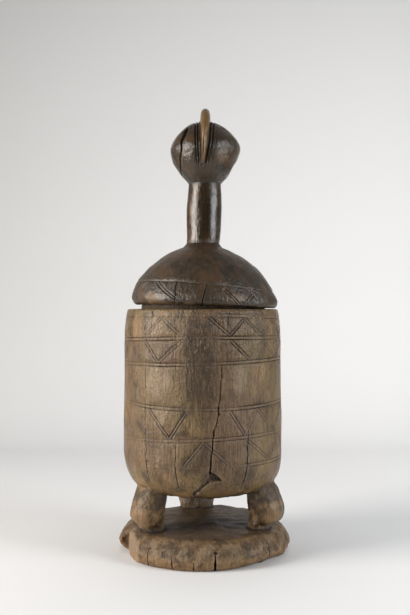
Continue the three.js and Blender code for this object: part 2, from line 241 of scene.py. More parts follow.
def softbox(name, azimuth, distance, height, size, power, colour):
    """A square lamp that looks at the middle of the pot. Azimuth 0 is behind the camera."""
    turn = math.radians(azimuth)
    place = Vector((math.sin(turn) * distance, -math.cos(turn) * distance, height))
    aim = Vector((0, 0, 0.3)) - place
    bpy.ops.object.light_add(type="AREA", location=place, rotation=aim.to_track_quat("-Z", "Y").to_euler())
    lamp = bpy.context.object
    lamp.name = name
    lamp.data.shape = "RECTANGLE"
    lamp.data.size, lamp.data.size_y = size
    lamp.data.energy = power
    lamp.data.color = colour
    return lamp


softbox("softbox_left", -69, 1.5, 0.60, (0.8, 1.2), 39.5, WARM)
softbox("softbox_right", 64, 1.5, 0.60, (0.68, 1.2), 23, COOL)
# This one is turned away from the pot, to light the paper behind it.
glow = softbox("backdrop_lamp", 118, 0.9, 0.70, (0.5, 0.9), 1.6, WHITE)
glow.rotation_euler = Vector((-0.15, 1.2, -0.25)).to_track_quat("-Z", "Y").to_euler()
top = softbox("top_lamp", 180, 0.3, 1.7, (1.4, 1.0), 8, WHITE)
top.visible_glossy = False
world = bpy.context.scene.world or bpy.data.worlds.new("room")
bpy.context.scene.world = world
room = Finish(world)
toward = room.node("TexCoord", {}, {}, "Generated")
back = room.node("SeparateXYZ", {}, {"Vector": toward}, "Y")
ends = {"From Min": -0.9, "From Max": 0.3, "To Min": ROOM_FRONT, "To Max": ROOM_LIGHT}
seen = room.node("LightPath", {}, {}, "Is Camera Ray")
level = room.node("MapRange", {}, {"Value": back, **ends}) + seen * ROOM_SEEN
light = room.node("Background", {}, {"Color": (*WHITE, 1), "Strength": level})
room.node("OutputWorld", {}, {"Surface": light}, None)
bpy.context.scene.view_settings.view_transform = "Standard"


# Vessel: a tall bellied cylinder with a flat shoulder and a raised lip, hollowed out with an adze.
# It is cut from the same log as the legs and the base. Sizes are in millimetres from here on.
VESSEL_X = -1.5
VESSEL_BOTTOM = 80.5
VESSEL_LEAN = -0.7
SHOULDER = 306.6
LIP_TOP = 318.6
BELLY_RADIUS = 100.9
TOP_RADIUS = 99.9
# The wall is straight up to this height, and draws in above it.
STRAIGHT_TOP = 256.6
CAVITY_RADIUS = 82.2
CAVITY_FLOOR = 94
CAVITY_ROW = 12.56
LIP_RADIUS = 79
MOUTH_RADIUS = 70
ROUND_STEPS = 164
# The rows of faces that follow the bands, and how far apart they are at most.
WALL_FOOT = 86.4
WALL_HEAD = 303.6
WALL_ROW = 4.4

# The six incised bands round the vessel. Each is a pair of lines, and its height is given at the
# left, the front and the right, because the carver's lines wander. Then how deep it is left, as a
# share of the deepest, at some bearings in degrees from the front towards the right.
BANDS = [
    ((300.0, 299.5, 297.5), [(-60, 0.4), (-20, 0.3), (0, 0.25), (18, 0.6), (40, 0.5), (130, 0.8), (220, 0.5)]),
    ((270.0, 272.6, 272.0), [(-60, 0.7), (-24, 1.0), (-8, 0.4), (6, 0.45), (14, 1.0), (60, 0.9), (180, 0.8)]),
    ((240.0, 241.8, 244.5), [(-60, 0.5), (-30, 1.0), (-16, 0.8), (-8, 0.3), (6, 0.5), (14, 0.9), (180, 0.9)]),
    ((190.5, 188.2, 190.7), [(-60, 0.4), (-40, 1.0), (-20, 0.8), (-4, 0.3), (8, 1.0), (60, 0.9), (150, 0.6)]),
    ((148.5, 152.5, 155.5), [(-60, 0.3), (-20, 0.45), (-4, 0.4), (10, 0.9), (30, 0.7), (60, 0.5), (200, 0.8)]),
    ((117.5, 120.0, 121.5), [(-60, 0.2), (-10, 0.25), (8, 0.5), (28, 0.4), (40, 0.8), (60, 0.7), (190, 0.5)]),
]
LINE_PAIR = 4.0
LINE_WIDTH = 2.0


def curve(corners, steps):
    """Points along the curve that these corners pull, without its first."""
    made = []
    for step in range(1, steps + 1):
        row = [np.array(corner, float) for corner in corners]
        while len(row) > 1:
            row = [a + (b - a) * step / steps for a, b in zip(row, row[1:])]
        made.append(tuple(row[0]))
    return made


def turned(name, outline, steps=ROUND_STEPS, centre_x=0.0):
    """A closed shape: one corner is extruded along an outline of radius and height, then spun."""
    clear_selection()
    (radius, height), rest = outline[0], outline[1:]
    bpy.ops.mesh.primitive_plane_add(size=MM, location=((radius + centre_x) * MM, 0, height * MM))
    piece = bpy.context.object
    piece.name = name
    bpy.ops.object.transform_apply(location=True)
    edit(piece)
    bpy.ops.mesh.select_all(action="SELECT")
    bpy.ops.mesh.merge(type="CENTER")
    for next_radius, next_height in rest:
        step = ((next_radius - radius) * MM, 0, (next_height - height) * MM)
        bpy.ops.mesh.extrude_vertices_move(TRANSFORM_OT_translate={"value": step})
        radius, height = next_radius, next_height
    bpy.ops.mesh.select_all(action="SELECT")
    bpy.ops.mesh.spin(steps=steps, angle=math.tau, center=(centre_x * MM, 0, 0), axis=(0, 0, 1))
    bpy.ops.mesh.select_all(action="SELECT")
    bpy.ops.mesh.remove_doubles(threshold=0.01 * MM)
    bpy.ops.mesh.normals_make_consistent(inside=False)
    end_edit()
    return piece


def band_heights(heights, bearing):
    """A band's height at these bearings, in radians from the front towards the right."""
    left, front, right = heights
    waver = (front - (left + right) / 2) / 1.17
    return front - waver + (right - left) / 1.53 * np.sin(bearing) + waver * np.cos(2 * bearing)


def mean_height(heights):
    return float(np.mean(band_heights(heights, np.linspace(0, math.tau, 60))))


def rows_between(marks, row):
    """Heights that run through all the marks, no further apart than a row."""
    made = []
    for low, high in zip(marks, marks[1:]):
        count = max(1, math.ceil((high - low) / row))
        made += [low + (high - low) * i / count for i in range(count)]
    return made + [marks[-1]]


def at_height(line, height):
    """What a line of values and their heights gives at these heights."""
    values, heights = zip(*line)
    return np.interp(height, heights, values)


WALL_CURVE = (
    [(72, VESSEL_BOTTOM)]
    + curve([(72, VESSEL_BOTTOM), (99, VESSEL_BOTTOM), (BELLY_RADIUS, 120), (BELLY_RADIUS, 126.5)], 40)
    + [(BELLY_RADIUS, 166), (TOP_RADIUS, 200), (TOP_RADIUS, STRAIGHT_TOP)]
    + curve([(TOP_RADIUS, STRAIGHT_TOP), (TOP_RADIUS + 0.6, 281.6), (96, SHOULDER)], 12)
)
line_marks = sorted(
    mean_height(heights) + side * LINE_PAIR / 2 + edge * LINE_WIDTH / 2
    for heights, _ in BANDS
    for side in (-1, 1)
    for edge in (-1, 0, 1)
)
wall_rows = rows_between([WALL_FOOT] + line_marks + [WALL_HEAD], WALL_ROW)
outline = (
    [(radius, VESSEL_BOTTOM) for radius in (0, 16, 30, 42, 53, 63)]
    + [point for point in WALL_CURVE if point[1] < WALL_FOOT - 1.5][::4]
    + [(float(at_height(WALL_CURVE, height)), height) for height in wall_rows]
    + [(96.1, 305.2), (95.3, 306.2), (94, SHOULDER), (88, SHOULDER), (81, SHOULDER)]
    + [(79.5, 307.0), (LIP_RADIUS, 308), (LIP_RADIUS, 312.5), (LIP_RADIUS, 317.4)]
    + [(78.6, 318.3), (77.6, LIP_TOP), (71.4, LIP_TOP), (70.4, 318.2), (MOUTH_RADIUS, 317.2)]
    + [(MOUTH_RADIUS, 308), (MOUTH_RADIUS, 297.6)]
    + curve([(MOUTH_RADIUS, 297.6), (CAVITY_RADIUS, 288.6), (CAVITY_RADIUS, STRAIGHT_TOP)], 8)
    + [(CAVITY_RADIUS, STRAIGHT_TOP - CAVITY_ROW * step) for step in range(1, 11)]
    + curve([(CAVITY_RADIUS, 131), (CAVITY_RADIUS, CAVITY_FLOOR), (52, CAVITY_FLOOR)], 9)
    + [(radius, CAVITY_FLOOR) for radius in (39, 26, 13, 0)]
)
pot = turned("carved_pot", outline, centre_x=VESSEL_X)
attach(pot, "pot")
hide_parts("pot")


def bearings_of(points, centre_x=0.0):
    """Each point's bearing from the front, in radians, and its distance from the upright axis."""
    across, away = points[:, 0] - centre_x, points[:, 1]
    return np.arctan2(across, -away), np.hypot(across, away)


def bend_rows(points, chosen, centre_x, bands, outline, hold=3.6):
    """Moves the rows at each band's mean height to the band, along the outline, and those
    between the bands with them. Rows nearer to a band than the hold keep their distance to it."""
    bearing, radius = bearings_of(points, centre_x)
    levels = [mean_height(heights) for heights in bands]
    shifts = [band_heights(heights, bearing) - level for heights, level in zip(bands, levels)]
    shift = np.zeros(len(points))
    for low, high, low_shift, high_shift in zip(levels, levels[1:], shifts, shifts[1:]):
        inside = chosen & (points[:, 2] >= low - 0.01) & (points[:, 2] <= high + 0.01)
        share = np.clip((points[:, 2] - low - hold) / (high - low - 2 * hold), 0, 1)
        shift = np.where(inside, low_shift + (high_shift - low_shift) * share, shift)
    height = points[:, 2] + shift
    stretch = np.where(chosen, at_height(outline, height) / np.maximum(radius, 1), 1)
    points[:, 0] = centre_x + (points[:, 0] - centre_x) * stretch
    points[:, 1] *= stretch
    points[:, 2] = height


def level_between(points, low, high):
    return (points[:, 2] > low) & (points[:, 2] < high)


# The rows of the wall are bent to the carver's wandering bands.
points = points_of(pot)
_, radius = bearings_of(points, VESSEL_X)
on_rows = (radius > 83.5) & level_between(points, WALL_FOOT - 0.2, WALL_HEAD + 0.2)
bands = [(WALL_FOOT,) * 3] + [heights for heights, _ in BANDS[::-1]] + [(WALL_HEAD,) * 3]
bend_rows(points, on_rows, VESSEL_X, bands, WALL_CURVE)
move_points(pot, points)


# Legs: three bent legs, carved as a calf that rises from a foot on the base, then swells out to
# an overhanging knee and a thigh that runs into the vessel. One wood with the base and the vessel.
# A section is a height, the radius of its outer face, its depth and its width.
LEG = [
    (29, 91, 28, 35.5),
    (34.5, 91, 28, 35.5),
    (38, 91, 28, 35.5),
    (41, 91, 28, 35.5),
    (43.2, 95.5, 32.5, 37),
    (45.2, 101.5, 38.5, 38.5),
    (50, 104.9, 41.5, 41.5),
    (58, 106.6, 43, 45.5),
    (66, 105.6, 42.5, 47),
    (76, 102.2, 40, 49),
    (84, 98.5, 37, 50),
    (91, 93.5, 31, 46),
    (98, 86, 19, 34),
]
# A leg is its bearing, how wide its calf and its thigh are to the sections, how much further out it
# reaches at the knee's foot, at the knee and at the thigh, where its facets meet, and its knee's
# tip: its place round the limb, how far it hangs down, and how far the side beside it is drawn up.
LEGS = [
    (-55, (0.98, 0.97), (3.0, 0.8, -2.2), [-90, -45, -8, 42, 95, 140, 185, 230], 6, 8.0, 3.6),
    (64, (1.06, 1.06), (3.0, 2.4, 2.8), [-92, -51, -16, 34, 96, 160, 210], -14, 3.0, 0.0),
    (188, (1.38, 1.14), (0.0, 0.0, 0.0), [-70, -30, 20, 70, 130, 190, 240], 10, 4.0, 2.0),
]
LEG_SIDES = 28
# How flat the facets are: 0 leaves the limb round.
FACETS = 0.95
TIP_RADIUS = 98
TIP_HEIGHT = 46
TIP_SIZE = (7, 9, 9)


def degrees_from(bearing, middle):
    """How far these bearings, in radians, lie from one in degrees: -180 to 180 degrees."""
    return (np.degrees(bearing) - middle + 180) % 360 - 180


def lofted(name, sections, bearing, widen, reach, facets, tip_turn, tip_drop, side_rise):
    """A limb: a faceted oval, extruded, moved and resized from section to section."""
    clear_selection()
    bpy.ops.mesh.primitive_circle_add(vertices=LEG_SIDES, radius=MM / 2, fill_type="NGON")
    piece = bpy.context.object
    piece.name = name
    out_by = [np.interp(section[0], (41, 46, 58, 70, 98), (0, *reach, 0)) for section in sections]
    sections = [
        (level, out + by, deep + by, wide * np.interp(level, (44, 56), widen))
        for (level, out, deep, wide), by in zip(sections, out_by)
    ]
    ring = points_of(piece)
    turn, _ = bearings_of(ring)
    for start, end in zip(facets, facets[1:] + [facets[0] + 360]):
        off = degrees_from(turn, (start + end) / 2)
        flat = math.cos(math.radians(end - start) / 2) / np.cos(np.radians(np.clip(off, -80, 80)))
        inside = abs(off) < (end - start) / 2
        ring *= np.where(inside, 1 + FACETS * (flat - 1), 1)[:, None]
    move_points(piece, ring)
    height, outer, depth, width = sections[0]
    centre = Vector((0, depth / 2 - outer, height)) * MM
    bpy.ops.object.mode_set(mode="EDIT")
    bpy.ops.transform.resize(value=(width, depth, 1), center_override=(0, 0, 0))
    bpy.ops.transform.translate(value=centre)
    for next_height, next_outer, next_depth, next_width in sections[1:]:
        next_centre = Vector((0, next_depth / 2 - next_outer, next_height)) * MM
        bpy.ops.mesh.extrude_region_move(TRANSFORM_OT_translate={"value": next_centre - centre})
        size = (next_width / width, next_depth / depth, 1)
        bpy.ops.transform.resize(value=size, center_override=next_centre)
        centre, depth, width = next_centre, next_depth, next_width
    bpy.ops.mesh.select_all(action="SELECT")
    bpy.ops.mesh.normals_make_consistent(inside=False)
    end_edit()
    smooth = piece.modifiers.new("rounding", "SUBSURF")
    smooth.levels = smooth.render_levels = 2
    bpy.ops.object.modifier_apply(modifier=smooth.name)
    limb = points_of(piece)
    tip_bearing = np.radians(tip_turn)
    tip = (TIP_RADIUS * math.sin(tip_bearing), -TIP_RADIUS * math.cos(tip_bearing), TIP_HEIGHT)
    beside_tip = np.clip((tip[0] - limb[:, 0]) / 22, 0, 1)
    beside_tip *= np.clip(1 - abs(limb[:, 2] - TIP_HEIGHT) / 12, 0, 1)
    near = np.clip(1 - np.linalg.norm((limb - tip) / TIP_SIZE, axis=1), 0, 1)
    limb[:, 2] += side_rise * beside_tip - tip_drop * near
    move_points(piece, limb)
    piece.rotation_euler.z = math.radians(bearing)
    bpy.ops.object.transform_apply(rotation=True)
    return piece


def join_solid(piece, other, operation="UNION"):
    """Joins the other solid to this piece, or cuts it out, and leaves one closed skin."""
    pick(piece)
    cut = piece.modifiers.new("join", "BOOLEAN")
    cut.operation = operation
    cut.solver = "MANIFOLD"
    cut.object = other
    bpy.ops.object.modifier_apply(modifier=cut.name)
    bpy.data.objects.remove(other)


for leg in LEGS:
    join_solid(pot, lofted("leg", LEG, *leg))


# Base: a thick disc with a bellied edge, adzed on top. A flank has come away at its left, beside
# an open split, and drying cracks run in from its rim.
BASE_TOP = 33.5
BASE_RADIUS = 108.5
BASE_RIM = (
    [(103.6, 0), (105.4, 0.6), (107.2, 2.4), (108.1, 5.0), (108.4, 7.6), (108.4, 10.2), (108.2, 12.8)]
    + [(107.8, 15.4), (107.0, 18), (105.8, 20.6), (104.2, 23.2), (102.1, 25.8), (99.6, 28.2)]
    + [(96.6, 30.3), (93.2, 32.0), (89.4, 33.1)]
)
BASE_OUTLINE = (
    [(radius, 0) for radius in (0, 30, 60, 80, 92, 98)]
    + BASE_RIM
    + [(radius, BASE_TOP) for radius in range(85, -1, -5)]
)
SPLIT_BEARING = -77
SPLIT_WIDTH = 6
SPLIT_DEPTH = 22
FLANK_BEARING = -72
FLANK_DEPTH = 9.5
CUTTER_HEIGHT = 90
# Drying cracks of the rim: bearing, height of the top end, width at the floor and depth.
RIM_CRACKS = [
    (-38.5, 25, 2.2, 7),
    (-20.7, 17, 1.6, 4),
    (-6.6, 13, 1.2, 4),
    (6.9, 27, 3.4, 12),
    (45.9, 25, 2.4, 8),
    (76, 22, 3.0, 8),
    (118, 24, 2.4, 8),
    (161, 20, 2.0, 6),
    (-152, 26, 2.8, 9),
    (-121, 18, 1.8, 6),
]

base = turned("base", BASE_OUTLINE)


def rough(points, size, seed):
    """Smooth random values, about -1 to 1, in lumps of this size along x, y and z."""
    scaled = points / np.asarray(size, float) + seed * 7.3
    return np.fromiter((noise.noise(point) for point in scaled), float, len(points)) * 1.6


def scoops(points, size, seed):
    """The bites of an adze: 0 at the bottom of each, up to about 1 where they meet."""
    scaled = points / np.asarray(size, float) + seed * 5.1
    reach = np.fromiter((noise.voronoi(point)[0][0] for point in scaled), float, len(points))
    return np.minimum(reach * 1.25, 1.2) ** 2


def cutter(name, size, place, bearing, cuts):
    """A block that bites into the rim at a bearing, its faces roughened like torn wood."""
    clear_selection()
    bpy.ops.mesh.primitive_cube_add(size=MM)
    block = bpy.context.object
    block.name = name
    bpy.ops.object.mode_set(mode="EDIT")
    bpy.ops.transform.resize(value=size, center_override=(0, 0, 0))
    bpy.ops.transform.translate(value=Vector(place) * MM)
    bpy.ops.mesh.subdivide(number_cuts=cuts)
    end_edit()
    block.rotation_euler.z = math.radians(bearing)
    bpy.ops.object.transform_apply(rotation=True)
    torn = points_of(block)
    for axis in (0, 1):
        torn[:, axis] += rough(torn, (9, 9, 22), 3 + axis) * 0.9
    move_points(block, torn)
    return block


rear_end = BASE_RADIUS * math.sin(math.radians(FLANK_BEARING - SPLIT_BEARING))
flank_place = (-rear_end + BASE_RADIUS / 2, -(BASE_RADIUS - FLANK_DEPTH) - BASE_RADIUS / 2, 0)
flank = cutter("flank", (BASE_RADIUS, BASE_RADIUS, CUTTER_HEIGHT), flank_place, FLANK_BEARING, 18)
join_solid(base, flank, "DIFFERENCE")
split = cutter("split", (1, SPLIT_DEPTH * 2, CUTTER_HEIGHT), (0, -BASE_RADIUS, 0), SPLIT_BEARING, 11)
# The split is widened from its inner end outwards.
opening = points_of(split)
turn = math.radians(SPLIT_BEARING)
outward = np.array([math.sin(turn), -math.cos(turn)])
sideways = np.array([math.cos(turn), math.sin(turn)])
depth = np.clip((opening[:, :2] @ outward - (BASE_RADIUS - SPLIT_DEPTH)) / (2 * SPLIT_DEPTH), 0, 1)
side = np.sign(opening[:, :2] @ sideways)
opening[:, :2] += (side * depth * SPLIT_WIDTH)[:, None] * sideways
move_points(split, opening)
join_solid(base, split, "DIFFERENCE")
join_solid(pot, base)


def soften(piece, chosen, repeat, spread=1):
    """Smooths the corners along sharp edges where this test of the points holds."""
    edit(piece)
    bpy.ops.mesh.select_mode(type="EDGE")
    bpy.ops.mesh.edges_select_sharp(sharpness=math.radians(28))
    bpy.ops.mesh.select_mode(type="VERT")
    end_edit()
    sharp = numbers(piece.data.vertices, "select", kind=bool)
    choose(piece, corners=sharp & chosen(points_of(piece)))
    for _ in range(spread):
        bpy.ops.mesh.select_more()
    bpy.ops.mesh.vertices_smooth(factor=0.5, repeat=repeat)
    end_edit()


def beyond(points, radius):
    return np.hypot(points[:, 0], points[:, 1]) > radius


# The tools and the years have rounded where the legs meet the base, the split's edges, and where
# the legs meet the vessel.
edit(pot)
bpy.ops.mesh.select_all(action="SELECT")
bpy.ops.mesh.remove_doubles(threshold=0.25 * MM)
end_edit()
soften(pot, lambda p: level_between(p, 24, 40) & beyond(p, 40), 10, 2)
soften(pot, lambda p: level_between(p, 2, 32) & (p[:, 0] < -88) & (abs(p[:, 1] + 24) < 14), 8, 2)
soften(pot, lambda p: level_between(p, 70, 102) & beyond(p, 50), 8)


# Carving round the vessel: between the bands run zigzags of paired strokes. Corners are given by
# bearing, in degrees from the front to the right; those that the front shows come first, and the
# rest of the round is filled at the same pace. A stroke's depth is a share of the deepest.
STROKE_PAIR = 3.1
STROKE_WIDTH = 1.8
STROKE_DEPTH = 1.15
STROKE_INSET = 2.4
BAND_DEPTH = 0.95
PACE = 15.5
# Fainter strokes than this get no finer faces.
FAINT = 0.4
# A zigzag is the bands above and below it, whether it starts at the upper one, its corners, and
# how deep the strokes between them are.
ZIGZAGS = [
    (0, 1, False, (-43.3, -30, -14.2, 4.6, 19, 30.8, 44.9), (0.6, 0.65, 0.35, 1, 0.9, 0.85)),
    (1, 2, True, (-43.5, -31.6, -13.6, 5, 19, 34.2, 47, 62), (0.95, 0.6, 0.25, 0.3, 1, 0.5, 0.5)),
    (3, 4, True, (-39.6, -22.8, -10.5, 3.9, 19, 30, 41, 58), (0.9, 0.9, 0.3, 0.12, 0.85, 0.5, 0.6)),
    (4, 5, False, (-42, -32.5, -12.5, 0.5, 18, 31, 52), (0.35, 0.12, 0.8, 0.7, 0.3, 0.7)),
]
# Drying cracks: their depth, then the bearing, height and width of each bend.
CRACKS = [
    (4.0, [(13.4, 239, 0.3), (12.2, 205, 0.5), (11.0, 190, 0.6), (10.6, 178, 0.8), (8.6, 168, 1.0)]),
    (4.5, [(8.6, 168, 1.0), (6.6, 146, 1.2), (6.0, 131, 1.4), (4.9, 118, 1.6), (5.2, 113, 1.7)]),
    (1.2, [(-43.5, 236, 0.3), (-43.2, 218, 0.6), (-43.0, 205, 0.3)]),
    (1.5, [(-43.3, 200, 0.3), (-42.9, 182, 0.6), (-42.7, 150, 0.4), (-42.4, 128, 0.8), (-42.2, 100, 0.4)]),
    (2.2, [(33.4, 166, 0.3), (32.6, 151.8, 0.7), (32.0, 125.8, 0.8), (29.5, 100, 0.5), (28.0, 92, 0.3)]),
    (1.5, [(-17.6, 152, 0.3), (-18.4, 128, 0.5), (-19, 114, 0.7), (-18, 94.5, 0.4)]),
    (1.2, [(-39.0, 304, 0.7), (-38.6, 290, 0.5), (-38.4, 276, 0.3)]),
    (0.9, [(17.0, 304, 0.6), (17.8, 282, 0.3)]),
    (0.9, [(19.0, 303, 0.5), (18.8, 284, 0.3)]),
    (3.0, [(70, 306, 1.0), (72, 262, 0.7), (71, 228, 0.3)]),
    (3.0, [(122, 214, 0.3), (124, 160, 1.0), (121, 100, 0.5)]),
    (3.5, [(171, 305, 1.3), (169, 270, 1.0), (172, 215, 0.4)]),
    (3.0, [(-140, 190, 0.4), (-137, 140, 1.0), (-139, 98, 0.5)]),
    (2.5, [(-96, 305, 0.8), (-98, 268, 0.4)]),
]
# Where the main crack ends the wood has rotted away: a hollow with a spur to its right, and a
# ragged tear from there to the vessel's underside.
ROT = [
    (5.0, [(5.0, 117, 1.5), (5.4, 112.5, 6), (6.6, 109, 9.5), (8.8, 107, 8.0), (11.8, 104.8, 3.4)]),
    (3.2, [(6.0, 108, 7), (2.8, 103, 5.2), (-1.0, 97, 4.4), (-4.2, 91.5, 5.0), (-7.4, 86, 4.6)]),
]
# Millimetres to a degree round the wall, and a distance that is out of all reach.
WALL_SCALE = math.radians(1) * 98.5
FAR = 1e6
random = np.random.default_rng(11)


def all_round(corners):
    """The zigzag's corners carried on round the back to where they began."""
    rest = corners[0] + 360 - corners[-1]
    steps = round(rest / PACE)
    steps += (steps + len(corners) - 1) % 2
    made = list(corners)
    for step in range(1, steps + 1):
        waver = 1.5 * math.sin(step * 2.4) if step < steps else 0
        made.append(corners[-1] + rest * step / steps + waver)
    return made


strokes = []
for upper, lower, starts_high, corners, depths in ZIGZAGS:
    turns = all_round(corners)
    depths = list(depths) + list(random.uniform(0.45, 1.0, len(turns) - 1 - len(depths)))
    depths[-2:] = [0.3, 0.12]
    ends = []
    for number, corner in enumerate(turns):
        high = (number % 2 == 0) == starts_high
        level = float(band_heights(BANDS[upper if high else lower][0], math.radians(corner)))
        ends.append((corner, level + (-STROKE_INSET if high else STROKE_INSET)))
    strokes += list(zip(ends, ends[1:], depths))


def beside(bearing, height, start, end, scale):
    """Where points lie beside a straight stroke: the share along it, and how far off it in mm."""
    across = degrees_from(bearing, start[0]) * scale
    up = height - start[1]
    run, rise = (end[0] - start[0]) * scale, end[1] - start[1]
    length = math.hypot(run, rise)
    return (across * run + up * rise) / length ** 2, (across * rise - up * run) / length


def line_distance(bearing, height, line, scale):
    """How far in mm each point is from a line of bearings, heights and widths, and how wide the
    line is there. Points further off than 9 mm are out of reach."""
    middle = np.mean([corner[0] for corner in line])
    ends = np.array([((corner[0] - middle) * scale, corner[1]) for corner in line])
    place = np.stack([degrees_from(bearing, middle) * scale, height], axis=1)
    close = ((place > ends.min(axis=0) - 9) & (place < ends.max(axis=0) + 9)).all(axis=1)
    found = np.full(close.sum(), FAR)
    found_width = np.ones(close.sum())
    for number, (start, end) in enumerate(zip(ends, ends[1:])):
        run = end - start
        share = np.clip((place[close] - start) @ run / max(run @ run, 1e-9), 0, 1)
        away = np.linalg.norm(place[close] - start - share[:, None] * run, axis=1)
        width = line[number][2] + (line[number + 1][2] - line[number][2]) * share
        better = away - width / 2 < found - found_width / 2
        found = np.where(better, away, found)
        found_width = np.where(better, width, found_width)
    distance, widths = np.full(len(height), FAR), np.ones(len(height))
    distance[close], widths[close] = found, found_width
    return distance, widths


def meander(bends, sway, step=3.0):
    """The way through these bends, straying a little from side to side like a crack."""
    line = [bends[0]]
    for start, end in zip(bends, bends[1:]):
        count = max(1, round(math.dist(start[:2], end[:2]) / step))
        for number in range(1, count + 1):
            turn, level, width = (a + (b - a) * number / count for a, b in zip(start, end))
            line.append((turn + random.normal(0, sway), level, width))
    return line


crack_lines = [(depth, meander(bends, 0.2, 4.5)) for depth, bends in CRACKS]
rot_lines = [(depth, meander(bends, 0.2)) for depth, bends in ROT]


def refine(piece, near, reach):
    """Quarters the faces whose middles lie within reach."""
    pick(piece)
    middles = numbers(piece.data.polygons, "center", 3) / MM
    bpy.context.tool_settings.mesh_select_mode = (False, False, True)
    choose(piece, faces=near(middles) < reach)
    bpy.ops.mesh.subdivide(number_cuts=1)
    end_edit()
    bpy.context.tool_settings.mesh_select_mode = (True, False, False)


def near_strokes(bearing, height, strokes, scale, past):
    """How far points are from the nearest pair of lines. A stroke reaches past both its ends by
    this share of its length."""
    nearest = np.full(len(height), FAR)
    for start, end, _ in strokes:
        along, aside = beside(bearing, height, start, end, scale)
        distance = abs(aside) - (STROKE_PAIR + STROKE_WIDTH) / 2
        nearest = np.where((along > -past) & (along < 1 + past), np.minimum(nearest, distance), nearest)
    return nearest


def near_lines(bearing, height, lines, scale):
    """How far points are from the edge of the nearest of these cracks."""
    nearest = np.full(len(height), FAR)
    for _, line in lines:
        distance, width = line_distance(bearing, height, line, scale)
        nearest = np.minimum(nearest, distance - width / 2)
    return nearest


def on_outer_wall(points):
    _, radius = bearings_of(points, VESSEL_X)
    skin = at_height(WALL_CURVE, points[:, 2])
    return (radius > skin - 3) & (radius < skin + 1.5) & level_between(points, 83, 305.5)


def rim_aside(bearing, radius, crack_bearing):
    """How far points lie to the side of a crack that runs in towards the axis."""
    return abs(degrees_from(bearing, crack_bearing)) * math.radians(1) * radius


def crack_distance(points):
    bearing, _ = bearings_of(points, VESSEL_X)
    nearest = near_lines(bearing, points[:, 2], crack_lines + rot_lines, WALL_SCALE)
    nearest = np.where(on_outer_wall(points), nearest, FAR)
    bearing, radius = bearings_of(points)
    on_rim = (radius > 88) & (points[:, 2] < 31)
    for crack_bearing, top, width, _ in RIM_CRACKS:
        aside = rim_aside(bearing, radius, crack_bearing)
        distance = np.maximum(aside - width / 2, points[:, 2] - top)
        nearest = np.where(on_rim, np.minimum(nearest, distance), nearest)
    return nearest


def cut_distance(points):
    bearing, _ = bearings_of(points, VESSEL_X)
    plain = [stroke for stroke in strokes if stroke[2] >= FAINT]
    nearest = near_strokes(bearing, points[:, 2], plain, WALL_SCALE, 0.08)
    return np.minimum(np.where(on_outer_wall(points), nearest, FAR), crack_distance(points))


def front_crack_distance(points):
    return np.where(points[:, 1] < 0, crack_distance(points), FAR)


def rim_distance(points):
    return np.where(level_between(points, 0.3, 21) & beyond(points, 90), 0, FAR)


refine(pot, rim_distance, 1)
refine(pot, cut_distance, 1.9)
refine(pot, cut_distance, 0.35)
refine(pot, front_crack_distance, 0.4)


def normals_of(piece):
    return numbers(piece.data.vertex_normals, "vector", 3)


def groove(distance, width, depth):
    return depth * np.clip(1 - distance / (width / 2), 0, 1)


def rough_round(bearing, pace, seed):
    """Smooth random values, about -1 to 1, that change round the axis at this pace."""
    place = np.zeros((len(bearing), 3))
    place[:, 0] = bearing * pace
    return rough(place, 1, seed)


def add_marks(marks, **layers):
    """Adds these layers to a piece's marks. Where two meet, the stronger counts."""
    for name, values in layers.items():
        marks[name] = np.maximum(marks.get(name, 0), values)


def keep_marks(piece, marks):
    """Stores each layer with the corners, where the finish reads it by its name."""
    for name, values in marks.items():
        made = piece.data.attributes.new(name, "FLOAT", "POINT")
        made.data.foreach_set("value", np.asarray(values, float))


def cut_strokes(marks, strokes, bearing, height, scale, depth, taper, crown, allowed):
    """Cuts paired strokes and lightens the wood between their lines. The taper is how fast they
    deepen from their ends, and from which share; the crown is the light's reach."""
    rate, least = taper
    for start, end, strength in strokes:
        along, aside = beside(bearing, height, start, end, scale)
        share = strength * np.clip(np.minimum(along, 1 - along) * rate + least, 0, 1) * allowed
        share = np.where((along > 0) & (along < 1), share, 0)
        deep = groove(abs(abs(aside) - STROKE_PAIR / 2), STROKE_WIDTH, depth) * share
        light = np.clip(crown - abs(aside), 0, 1) * share
        add_marks(marks, sunk=deep, cut=deep / depth, ridge=light)


def hollows(piece, rounds):
    """How the skin bends at each corner, spread a little: above 0 in a cut, below 0 on an edge."""
    points, normals = points_of(piece), normals_of(piece)
    first, second = numbers(piece.data.edges, "vertices", 2, int).T
    length = np.linalg.norm(points[first] - points[second], axis=1)
    size = len(points)
    count = np.maximum(np.bincount(first, minlength=size) + np.bincount(second, minlength=size), 1)

    def around(first_values, second_values):
        return (np.bincount(first, second_values, size) + np.bincount(second, first_values, size)) / count

    mean_length = around(length, length)
    toward = [around(points[first, axis], points[second, axis]) - points[:, axis] for axis in range(3)]
    bend = (np.stack(toward, axis=1) * normals).sum(axis=1) / mean_length ** 2
    for _ in range(rounds):
        bend = (bend + around(bend[first], bend[second])) / 2
    return bend


points = points_of(pot)
on_wall = on_outer_wall(points)
bearing, radius = bearings_of(points, VESSEL_X)
height = points[:, 2].copy()

